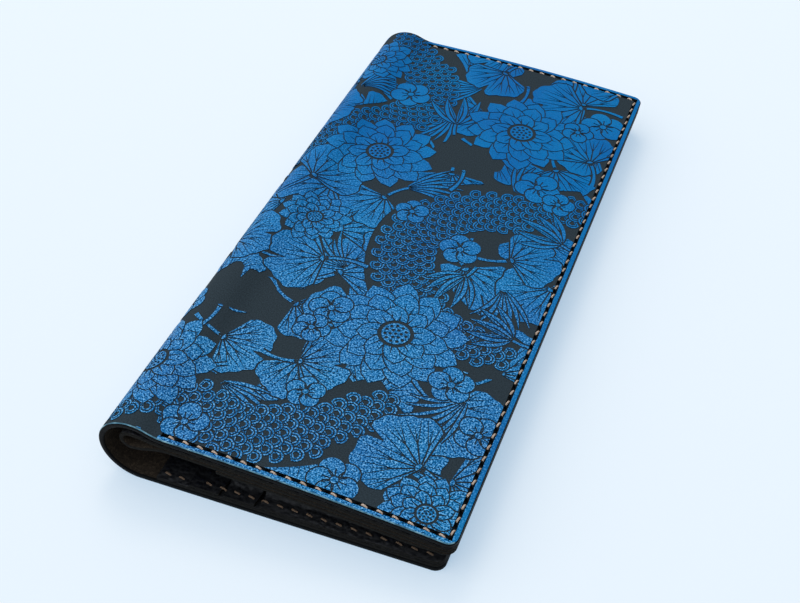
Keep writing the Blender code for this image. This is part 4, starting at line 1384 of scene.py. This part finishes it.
def sheet(name, rows, materials=LEATHERS, bevel=SANDED):
    """A closed sheet from rows of (grain, flesh) pairs, with grain, flesh and edge materials."""
    width, depth = len(rows[0]), len(rows)
    points = [p for row in rows for p, _ in row] + [q for row in rows for _, q in row]

    def at(i, j, back=0):
        return (back * depth + i) * width + j

    faces, kinds = [], []
    for i in range(depth - 1):
        for j in range(width - 1):
            faces.append([at(i, j), at(i, j + 1), at(i + 1, j + 1), at(i + 1, j)])
            faces.append([at(i, j, 1), at(i + 1, j, 1), at(i + 1, j + 1, 1), at(i, j + 1, 1)])
            kinds += [0, 1]
        for j, flip in ((0, 1), (width - 1, -1)):
            faces.append([at(i, j), at(i + 1, j), at(i + 1, j, 1), at(i, j, 1)][::flip])
            kinds.append(2)
    for j in range(width - 1):
        for i, flip in ((0, -1), (depth - 1, 1)):
            faces.append([at(i, j), at(i, j + 1), at(i, j + 1, 1), at(i, j, 1)][::flip])
            kinds.append(2)
    piece = add_mesh(name, points, faces, materials)
    piece.data.polygons.foreach_set("material_index", kinds)
    with bmesh_of(piece) as mesh:
        bmesh.ops.recalc_face_normals(mesh, faces=mesh.faces)
    apply_modifier(piece, "BEVEL", width=bevel, segments=2, limit_method="ANGLE",
                   angle_limit=math.radians(60), use_clamp_overlap=True)
    with editing(piece):
        bpy.ops.mesh.remove_doubles(threshold=MERGED)
    # Merging can leave slivers that hang on by one edge.
    with bmesh_of(piece) as mesh:
        fins = [face for face in mesh.faces if sum(edge.is_boundary for edge in face.edges) > 1]
        bmesh.ops.delete(mesh, geom=fins, context="FACES")
    smooth_by_angle(piece, 40)
    print(name, "faces:", len(piece.data.polygons))
    return piece


# %% [markdown]
# ## The zip pouch's section
# One skin of lining leather runs under the front cover, folds round beside the spine and comes back
# as the pouch's face, which bulges to hold the zip. At the near end its fold shows as a flat loop.

# %% The zip pouch's section
FOLD_MID_R = FOLD_R - LINING_T / 2
FOLD_X = BACK_X + FOLD_INSET + FOLD_R
FOLD_Z = BEND_Z + SPINE_R - FOLD_DROP
SLIP_X = outline_at(S_SLIP)[0]


def corner_inset(edge):
    """How far a rounded corner draws in the side, at a distance from the open edge."""
    return 0.0 if edge >= CORNER_R else CORNER_R - math.sqrt(max(0.0, CORNER_R ** 2 - (CORNER_R - edge) ** 2))


def bulge(x, y):
    """How far the pouch's face stands away from its back, to hold the zip."""
    rise = smooth((x - FOLD_X) / (dip_x - FOLD_X))
    fall = 1 - smooth((x - SLIP_X) / (FRONT_EDGE_X - SKIVE_RUN - SLIP_X))
    return BULGE * rise * fall * smooth((HALF_L - FLAT_MARGIN - abs(y)) / BULGE_RUN)


def lowered(point, y):
    return Vector((point.x, y, point.z - bulge(point.x, y)))


def section_marks(start, end):
    """Distances along the front, closer at its rounded corner."""
    corner = [end - CORNER_R * (1 - math.cos(a)) for a in spread(0.0, math.pi / 2, 7)][::-1]
    return spread(start, end - CORNER_R, max(6, round((end - start) / 0.003)))[:-1] + corner


def layer_rows(layer, marks, outer_up):
    """A front lining's section, as (grain, flesh, half length)."""
    rows = []
    for s in marks:
        faces = [inside(s, depth) for depth in layer_depth(layer, s)]
        rows.append((*faces[::1 if outer_up else -1], HALF_L - corner_inset(min(s, S_END - s))))
    return rows


def fold_rows():
    """Section of the pouch's fold beside the spine, as (grain, flesh, half length)."""
    back = inside(S_DIP, sum(layer_depth(0, S_DIP)) / 2)
    face = inside(S_DIP, sum(layer_depth(1, S_DIP)) / 2)
    chain = [back]
    for t in spread(0.0, 1.0, 10)[1:]:
        chain.append(Vector((back.x + (FOLD_X - back.x) * t, 0,
                             back.z + (FOLD_Z + FOLD_MID_R - back.z) * smooth(t))))
    for a in spread(math.pi / 2, 1.5 * math.pi, 18)[1:]:
        chain.append(Vector((FOLD_X + FOLD_MID_R * math.cos(a), 0, FOLD_Z + FOLD_MID_R * math.sin(a))))
    low = FOLD_Z - FOLD_MID_R
    for t in spread(0.0, 1.0, 10)[1:-1]:
        chain.append(Vector((FOLD_X + (face.x - FOLD_X) * t, 0, low + (face.z - low) * smooth(t))))
    chain.append(face)
    rows = []
    for before, centre, after in zip(chain, chain[1:], chain[2:]):
        along = (after - before).normalized()
        aside = Vector((along.z, 0, -along.x)) * (LINING_T / 2)
        rows.append((centre + aside, centre - aside, HALF_L))
    return rows


# %% [markdown]
# ## The pouch, its window and the slip panel
# The section is repeated along the wallet, closer together where the bulge changes. A stretched
# cylinder then cuts the zip's round-ended window. The slip panel is one more sheet under the pouch.

# %% The pouch, its window and the slip panel
TAPE_T = 0.0005


def zip_frame():
    """Middle of the zip's chain in section, and its downward slope."""
    centre = inside(S_ZIP, layer_depth(1, S_ZIP)[0] - GAP - TAPE_T / 2)
    return Vector((centre.x, 0, centre.z - BULGE)), -outline_at(S_ZIP)[2]


ZIP_CENTRE, ZIP_SLOPE = zip_frame()


def in_zip(y=0.0):
    """The zip's own frame: X across, Y along, Z into the pouch."""
    return Matrix.Translation((ZIP_CENTRE.x, y, ZIP_CENTRE.z)) @ Matrix.Rotation(ZIP_SLOPE, 4, "Y")


def pouch_sides():
    """Positions along the pouch, closer where its bulge changes."""
    near = [FLAT_MARGIN * i / 2 for i in range(2)] + [FLAT_MARGIN + BULGE_RUN * i / 8 for i in range(9)]
    middle = spread(near[-1] - HALF_L, HALF_L - near[-1], 16)[1:-1]
    return [d - HALF_L for d in near] + middle + [HALF_L - d for d in reversed(near)]


def long_row(outer, inner, half, bulges=True):
    """Grain and flesh points along the wallet, at one place of the section."""
    row = []
    for y in pouch_sides():
        y = max(-half, min(half, y))
        row.append([lowered(p, y) if bulges else Vector((p.x, y, p.z)) for p in (outer, inner)])
    return row


def cut_out(piece, cutter):
    """Cut one object out of another and remove the cutter."""
    apply_modifier(piece, "BOOLEAN", object=cutter, operation="DIFFERENCE", solver="EXACT")
    bpy.data.objects.remove(cutter, do_unlink=True)


def window_cutter():
    """A round-ended slot: an upright cylinder whose two halves are drawn apart."""
    r, reach = WINDOW_W / 2, HALF_L - WINDOW_END - WINDOW_W / 2
    cutter = new_primitive(bpy.ops.mesh.primitive_cylinder_add, vertices=40, radius=r, depth=5 * MM,
                           location=(0, 0, -0.9 * MM))
    for vertex in cutter.data.vertices:
        vertex.co.y += reach if vertex.co.y > -1e-6 else -reach
    apply_place(cutter, in_zip())
    return cutter


marks = section_marks(S_DIP, S_END)
rows = [long_row(*section, False) for section in layer_rows(0, marks[::-1], True)]
rows += [long_row(outer, inner, half, (outer.z + inner.z) / 2 < FOLD_Z) for outer, inner, half in fold_rows()]
rows += [long_row(*section) for section in layer_rows(1, marks, False)]
pouch = sheet("pouch_leather", rows)
cut_out(pouch, window_cutter())
smooth_by_angle(pouch, 40)
dress(pouch, "front_half", "zip_pouch")
rows = [long_row(*section) for section in layer_rows(2, section_marks(S_SLIP, S_END), False)]
dress(sheet("slip_leather", rows), "front_half", "slip_panel")

# %% [markdown]
# ## Zip tapes
# The tapes are woven with a cord along their inner edges, which every tooth clamps. They lie on the
# pouch's face from inside and follow its bulge, so they are made the same way, as sheets.

# %% Zip tapes
TAPE_W, LANE, CORD_R, CORD_SHARE, TAPE_PAST = 0.007, 0.0016, 0.00035, 0.14, 0.004
TAPE_END = HALF_L - WINDOW_END + TAPE_PAST

for name, side in (("spine_side", -1), ("open_side", 1)):
    rows = []
    for t in spread(0.0, 1.0, 12):
        s = S_ZIP + side * (LANE + (TAPE_W - LANE) * t)
        depth = layer_depth(1, s)[0] - GAP
        cord = CORD_R * max(0.0, 1 - (t / CORD_SHARE) ** 2)
        rows.append([(lowered(inside(s, depth + cord), y), lowered(inside(s, depth - TAPE_T - cord), y))
                     for y in spread(-TAPE_END, TAPE_END, 40)])
    tape = sheet(f"tape_{name}", rows, (TAPE, TAPE, TAPE), SEALED)
    dress(tape, "front_half", f"zip_tape_{name}")

# %% [markdown]
# ## Teeth and stops
# A tooth is a cube with its edges bevelled and its tip narrowed; the rows interlock. When the zip is
# drawn open the real teeth part, which rigid ones can't, so here they stay closed. The stops are
# short clamped bars, a wide one at the bottom and one a side at the top.

# %% Teeth and stops
TOOTH_PITCH, TOOTH_TIP, TOOTH_BACK, TOOTH_L, TOOTH_H = 2.2, -0.42, 2.15, 1.16, 2.2
STOP_INSET, STOP_L, TOP_STOP_X, TOP_STOP_W = 3.4, 1.6, 1.25, 1.8


def bevelled_box(size, place, bevel, segments=2):
    """A box in millimetres with rounded edges."""
    box = new_primitive(bpy.ops.mesh.primitive_cube_add, size=1.0, location=(0, 0, 0))
    box.data.transform(Matrix.Translation(place) @ Matrix.Diagonal((*size, 1.0)))
    with editing(box):
        bpy.ops.mesh.bevel(offset=bevel, segments=segments, profile=0.6)
    return box


def tooth_template(side):
    """One tooth in millimetres, tip towards the middle of the zip."""
    middle = (TOOTH_BACK + TOOTH_TIP) / 2
    tooth = bevelled_box((TOOTH_BACK - TOOTH_TIP, TOOTH_L, TOOTH_H), (middle, 0, 0), 0.16, 1)
    for vertex in tooth.data.vertices:
        t = smooth((0.7 - vertex.co.x) / 1.1)
        vertex.co.y *= 1 - 0.28 * t
        vertex.co.z *= 1 - 0.16 * t
        vertex.co.x *= side
    if side < 0:
        tooth.data.flip_normals()
    return tooth


def in_brass(piece, place, degrees, body, node):
    """Carry a piece to its place in the zip and finish it in brass."""
    apply_place(piece, place)
    piece.data.materials.clear()
    piece.data.materials.append(BRASS)
    smooth_by_angle(piece, degrees)
    dress(piece, body, node)


reach = (HALF_L - WINDOW_END) / MM - STOP_INSET - STOP_L
count = int((2 * reach - TOOTH_PITCH) / TOOTH_PITCH)
for name, side, shift in (("spine_side", -1, 0.0), ("open_side", 1, 0.5)):
    template = tooth_template(side)
    places = [in_zip((TOOTH_PITCH * (i + shift) - reach + TOOTH_PITCH / 4) * MM) for i in range(count)]
    teeth = copies(f"teeth_{name}", template, places, BRASS)
    bpy.data.objects.remove(template, do_unlink=True)
    dress(teeth, "front_half", f"zip_teeth_{name}")
stop_y = HALF_L - WINDOW_END - STOP_INSET * MM
for name, x, width, y in (("zip_bottom_stop", 0, 2 * TOOTH_BACK, -stop_y),
                          ("zip_top_stop_spine_side", -TOP_STOP_X, TOP_STOP_W, stop_y),
                          ("zip_top_stop_open_side", TOP_STOP_X, TOP_STOP_W, stop_y)):
    stop = bevelled_box((width, STOP_L, TOOTH_H), (x, 0, 0), 0.35, 3)
    stop.name = f"{name}_piece"
    stop.data.transform(Matrix.Scale(MM, 4))
    in_brass(stop, in_zip(y), 50, "front_half", name)
print("teeth on each side:", count)

# %% [markdown]
# ## The slider
# The slider is two pressed plates joined by a wedge, with a wire bail on the outer plate. The plates
# start as bevelled boxes whose sides are drawn in, and the bail as half of a flattened ring.

# %% The slider
SLIDER_L, PLATE_IN, PLATE_T, SLIDER_HALF_W = 9.0, 1.4, 0.7, 3.7
WEDGE_W, WEDGE_L, WEDGE_Y, PRESSED = 0.55, 2.2, 2.6, 0.2
BAIL_R, WIRE_R, BAIL_WIDER, BAIL_LOWER, BAIL_SUNK = 2.62, 0.36, 1.9, 0.73, 0.25
SLIDER_Y = HALF_L - WINDOW_END - (STOP_INSET + STOP_L / 2 + SLIDER_L / 2) * MM - GAP


def slider_plate(side):
    """One plate, wide at the shoulders and narrower towards both ends, with its edges turned in."""
    size, middle = (2 * SLIDER_HALF_W, SLIDER_L, PLATE_T), (0, 0, side * (PLATE_IN + PLATE_T / 2))
    plate = bevelled_box(size, middle, 0.3, 3)
    for vertex in plate.data.vertices:
        t = vertex.co.y / (SLIDER_L / 2)
        vertex.co.x *= 0.98 - 0.26 * smooth((t - 0.35) / 0.65) - 0.2 * smooth((0.35 - t) / 1.3)
        vertex.co.z += side * -0.18 * (vertex.co.x / SLIDER_HALF_W) ** 2
    return plate


def slider_bail():
    """The upper half of a ring, widened to a strap and set on the outer plate."""
    bail = new_primitive(bpy.ops.mesh.primitive_torus_add, major_radius=BAIL_R, minor_radius=WIRE_R,
                         major_segments=36, minor_segments=12, rotation=(0, math.pi / 2, 0))
    bpy.ops.object.transform_apply(location=False, rotation=True, scale=True)
    with editing(bail):
        bpy.ops.mesh.bisect(plane_co=(0, 0, 0), plane_no=(0, 0, 1), clear_outer=True, use_fill=True)
    for vertex in bail.data.vertices:
        vertex.co.x *= BAIL_WIDER
        vertex.co.z = vertex.co.z * BAIL_LOWER - PLATE_IN - PLATE_T + BAIL_SUNK
    return bail


slider = slider_plate(-1)
wedge_h = 2 * (PLATE_IN + PRESSED)
parts = [slider_plate(1), bevelled_box((WEDGE_W, WEDGE_L, wedge_h), (0, WEDGE_Y, 0), 0.12, 1), slider_bail()]
select_only(slider)
for part in parts:
    part.select_set(True)
bpy.ops.object.join()
slider.name = "slider_body"
slider.data.transform(Matrix.Scale(MM, 4))
in_brass(slider, in_zip(SLIDER_Y), 45, "slider", "zip_slider")
print("slider faces:", len(slider.data.polygons))

# %% [markdown]
# ## The pull
# The pull is a stamped tab with round ends, waisted behind its eye and widened towards its tip. Its
# four upright edges are bevelled round, cuts across it let the outline be drawn in, and a small bevel
# takes off the stamping's sharp rim. Its eye hangs on the bail.

# %% The pull
PULL_W, PULL_L, PULL_T, PULL_MIDDLE, PULL_CLEAR = 4.5, 20.4, 0.8, -9.8, 0.5
PULL_Z = -(PLATE_IN + PLATE_T + PULL_CLEAR + PULL_T / 2)
EYE_Y, EYE_R, TIP_HOLE_Y, TIP_HOLE_R = -2.05, 1.1, -16.2, 1.2


def stamped_tab():
    """The tab in metres, before its holes are punched."""
    tab = new_primitive(bpy.ops.mesh.primitive_cube_add, size=1.0)
    shape = Matrix.Translation((0, PULL_MIDDLE, 0)) @ Matrix.Diagonal((PULL_W, PULL_L, PULL_T, 1))
    tab.data.transform(shape)
    with editing(tab):
        bpy.ops.mesh.select_mode(type="EDGE")
        bpy.ops.mesh.select_all(action="DESELECT")
    for edge in tab.data.edges:
        low, high = (tab.data.vertices[i].co for i in edge.vertices)
        edge.select = abs(high.z - low.z) > PULL_T / 2
    bpy.ops.object.mode_set(mode="EDIT")
    bpy.ops.mesh.bevel(offset=1.7, segments=7, affect="EDGES")
    for y in range(2, 19, 2):
        bpy.ops.mesh.select_all(action="SELECT")
        bpy.ops.mesh.bisect(plane_co=(0, -y, 0), plane_no=(0, 1, 0))
    bpy.ops.mesh.select_mode(type="VERT")
    bpy.ops.object.mode_set(mode="OBJECT")
    apply_modifier(tab, "BEVEL", width=0.2, segments=2, limit_method="ANGLE", angle_limit=math.radians(50))
    for vertex in tab.data.vertices:
        t = -vertex.co.y / 20
        waist = math.sin(math.pi * min(1.0, max(0.0, (t - 0.12) / 0.5)))
        vertex.co.x *= 0.86 - 0.2 * waist + 0.14 * smooth((t - 0.4) / 0.4)
    tab.data.transform(Matrix.Scale(MM, 4))
    return tab


pull = stamped_tab()
for y, r in ((EYE_Y, EYE_R), (TIP_HOLE_Y, TIP_HOLE_R)):
    punch = new_primitive(bpy.ops.mesh.primitive_cylinder_add, vertices=32, radius=r * MM, depth=4 * MM,
                          location=(0, y * MM, 0))
    apply_place(punch, Matrix.Identity(4))
    cut_out(pull, punch)
pull.name = "pull_tab"
in_brass(pull, in_zip(SLIDER_Y) @ Matrix.Translation((0, 0, PULL_Z * MM)), 40, "pull", "zip_pull")
print("pull faces:", len(pull.data.polygons))

# %% [markdown]
# ## The row round the zip
# One closed row of stitches holds the tapes behind the window.

# %% The row round the zip
def zip_row():
    """Holes round the window, with whole stitches on each of its four sides."""
    across, along = WINDOW_W / 2 + STITCH_INSET, HALF_L - WINDOW_END + STITCH_INSET
    corners = [(-across, -along), (-across, along), (across, along), (across, -along)]
    holes = []
    for (x0, y0), (x1, y1) in sides_of(corners):
        count = int(math.hypot(x1 - x0, y1 - y0) / STITCH_PITCH + 0.5)
        for x, y in list(zip(spread(x0, x1, count), spread(y0, y1, count)))[:-1]:
            s = S_ZIP + x
            holes.append((lowered(inside(s, layer_depth(1, s)[1]), y), -outward_at(s)))
    return holes


sew("zip_stitches", zip_row(), "zip_thread", "front_half", closed=True)

# %% [markdown]
# ## Note panel
# The note panel is a flat sheet over the rear cover, with the cover's rounded corners.

# %% Note panel
def flat_row(x, ys, lift, thickness):
    return [(Vector((x, y, lift(y) + thickness)), Vector((x, y, lift(y)))) for y in ys]


rows = []
marks = [CORNER_R * (1 - math.cos(a)) for a in spread(0.0, math.pi / 2, 7)]
marks += spread(CORNER_R, REAR_EDGE_X - NOTE_MOUTH_X, 14)[1:]
for edge in marks:
    half = HALF_L - corner_inset(edge)
    rows.append(flat_row(REAR_EDGE_X - edge, spread(-half, half, 24), lambda y: NOTE_LOW, NOTE_T))
dress(sheet("note_leather", rows), "rear_half", "note_panel")

# %% [markdown]
# ## Card pockets
# The card pockets are T-shaped, so that only one layer reaches the sides, and each rides up over the
# stems of those below. Two columns of three lie side by side, parted by two rows of stitches.

# %% Card pockets
STEM_EASE = 0.0008
POCKET_FEET = [REAR_EDGE_X - FOOT_INSET - STEP * (POCKET_ROWS - 2 - i) for i in range(POCKET_ROWS - 1)]


def pocket_lift(row, x, across):
    """How far a card pocket is raised over the stems of the pockets under it."""
    foot_ramp = FOOT_INSET - FLAT_MARGIN - GAP
    foot = smooth((REAR_EDGE_X - FLAT_MARGIN - x) / foot_ramp) if row == POCKET_ROWS - 1 else 1.0
    return row * (POCKET_T + GAP) * smooth((across - FLAT_MARGIN) / RAMP_RUN) * foot


def pocket_marks(row):
    """Places across the wallet, as (x, narrow), where a pocket's outline or height changes."""
    mouth = POCKET_MOUTHS[row]
    if row < POCKET_ROWS - 1:
        bar_end = mouth + STEP - GAP
        bar = [(x, False) for x in spread(mouth, bar_end - SHOULDER, 4)]
        return bar + [(x, True) for x in spread(bar_end, POCKET_FEET[row], 6)]
    foot = REAR_EDGE_X - FOOT_INSET
    places = spread(mouth, foot, 10) + spread(foot, REAR_EDGE_X - CORNER_R, 8)[1:]
    places += [REAR_EDGE_X - CORNER_R * (1 - math.sin(a)) for a in spread(0.0, math.pi / 2, 7)[1:]]
    return [(x, False) for x in places]


def make_card_pocket(column, side, row):
    wide = [0.0] + spread(FLAT_MARGIN, FLAT_MARGIN + RAMP_RUN, 8)
    stem = FLAT_MARGIN + RAMP_RUN + GAP
    slim = spread(stem, stem + STEM_EASE, len(wide) - 1)
    rows = []
    for x, narrow in pocket_marks(row):
        margins, corner = (slim if narrow else wide), corner_inset(REAR_EDGE_X - x)
        low, high = [GAP / 2 + m for m in margins], [HALF_L - max(m, corner) for m in reversed(margins)]
        ys = low + spread(low[-1], high[0], 9)[1:-1] + high
        line = flat_row(
            x, ys, lambda y: POCKET_LOW + pocket_lift(row, x, min(y - GAP / 2, HALF_L - y)), POCKET_T)
        rows.append([[Vector((p.x, side * p.y, p.z)) for p in pair] for pair in line])
    pocket = sheet(f"card_leather_{column}_{row + 1}", rows, bevel=SANDED_THIN)
    dress(pocket, "rear_half", f"card_pocket_{column}_{row + 1}")


start = POCKET_MOUTHS[0] + STITCH_INSET
count = int((REAR_EDGE_X - STITCH_INSET - STEM_EASE - start) / STITCH_PITCH)
for column, side in (("near", -1), ("far", 1)):
    for row in range(POCKET_ROWS):
        make_card_pocket(column, side, row)
    holes = [(Vector((start + STITCH_PITCH * i, side * (GAP / 2 + STITCH_INSET), POCKET_TOP)), UP)
             for i in range(count + 1)]
    sew(f"divider_stitches_{column}", holes, f"divider_thread_{column}", "rear_half")
bpy.data.objects.remove(STITCH, do_unlink=True)

# %% [markdown]
# ## Floor
# The photograph has an almost white, faintly blue background with soft bluish shadows. The floor shows
# its paleness to the camera and in reflections alone, so the white of it isn't thrown back up on the
# dark edges.

# %% Floor
def background_rays(tree):
    """1 for the rays that show the background: the camera's, glossy ones and those through glass."""
    rays = add_node(tree, "LightPath").outputs
    shown = rays["Is Camera Ray"]
    for kind in ("Is Glossy Ray", "Is Transmission Ray"):
        shown = add_node(tree, "Math", {"operation": "MAXIMUM"}, {0: shown, 1: rays[kind]})
    return shown


def pale_floor():
    material, tree = new_material("pale_floor")
    shown = background_rays(tree)
    tint = add_node(tree, "Mix", {"data_type": "RGBA", 6: colour("#8E979E"), 7: colour("#C6B7A4")},
                    {0: shown})
    return finished(
        material, {"Emission Color": colour("#96B4CE"), "Roughness": 0.9, "Specular IOR Level": 0.0},
        {"Emission Strength": shown, "Base Color": tint.outputs[2]})


floor = new_primitive(bpy.ops.mesh.primitive_plane_add, size=6.0, location=(0, 0, 0))
floor.name = "floor"
floor.data.materials.append(pale_floor())

# %% [markdown]
# ## Light
# A pale room lights the wallet from all round, most from above and the left, where its window is, and
# a soft lamp behind the wallet adds a little gloss. The Standard view transform shows the leather's
# colours unsoftened.

# %% Light
def soft_room():
    """A pale room that is brightest overhead and to the left."""
    world = bpy.data.worlds.new("soft_room")
    world.use_nodes = True
    tree = world.node_tree
    place = add_node(tree, "TexCoord")
    towards = add_node(tree, "VectorMath", {"operation": "DOT_PRODUCT", 1: (-0.45, -0.2, 0.87)},
                       {0: place.outputs["Generated"]})
    level = add_node(tree, "MapRange", {"From Min": -0.1, "From Max": 1.0, "To Min": 0.18, "To Max": 1.42,
                                        "interpolation_type": "SMOOTHSTEP"},
                     {"Value": towards.outputs["Value"]})
    strength = add_node(tree, "Mix", {"data_type": "FLOAT", 3: 1.0}, {0: background_rays(tree), 2: level})
    set_node(tree, tree.nodes["Background"], {"Color": colour("#EAF2FC")}, {"Strength": strength})
    return world


lamp_data = bpy.data.lights.new("window", "AREA")
lamp_data.shape, lamp_data.size, lamp_data.energy = "DISK", 0.5, 2.2
lamp = bpy.data.objects.new("window", lamp_data)
bpy.context.scene.collection.objects.link(lamp)
lamp.location = (-0.32, 0.62, 1.0)
lamp.rotation_euler = (-lamp.location).to_track_quat("-Z", "Y").to_euler()
bpy.context.scene.world = soft_room()
bpy.context.scene.view_settings.view_transform = "Standard"
print("lamp:", lamp.name, lamp_data.energy, "W")

# %% [markdown]
# ## Camera
# The camera repeats the photograph's view. Its three directions and its place were fitted to the
# wallet's corners at their real size.

# %% Camera
CAMERA_RIGHT, CAMERA_UP = Vector((0.93418, 0.35674, -0.00683)), Vector((-0.24000, 0.64241, 0.72782))
CAMERA_BACK = Vector((0.26402, -0.67827, 0.68574))
CAMERA_PLACE, FOCAL_MM = (0.096614, -0.258249, 0.247573), 53.91
camera_data = bpy.data.cameras.new("camera")
camera_data.sensor_width, camera_data.lens, camera_data.clip_start = 36.0, FOCAL_MM, 0.01
camera = bpy.data.objects.new("camera", camera_data)
bpy.context.scene.collection.objects.link(camera)
turned = Matrix((CAMERA_RIGHT, CAMERA_UP, CAMERA_BACK)).transposed().to_4x4()
camera.matrix_world = Matrix.Translation(CAMERA_PLACE) @ turned
bpy.context.scene.camera = camera
print("camera:", round(Vector(CAMERA_PLACE).length / MM), "mm from the wallet's middle")
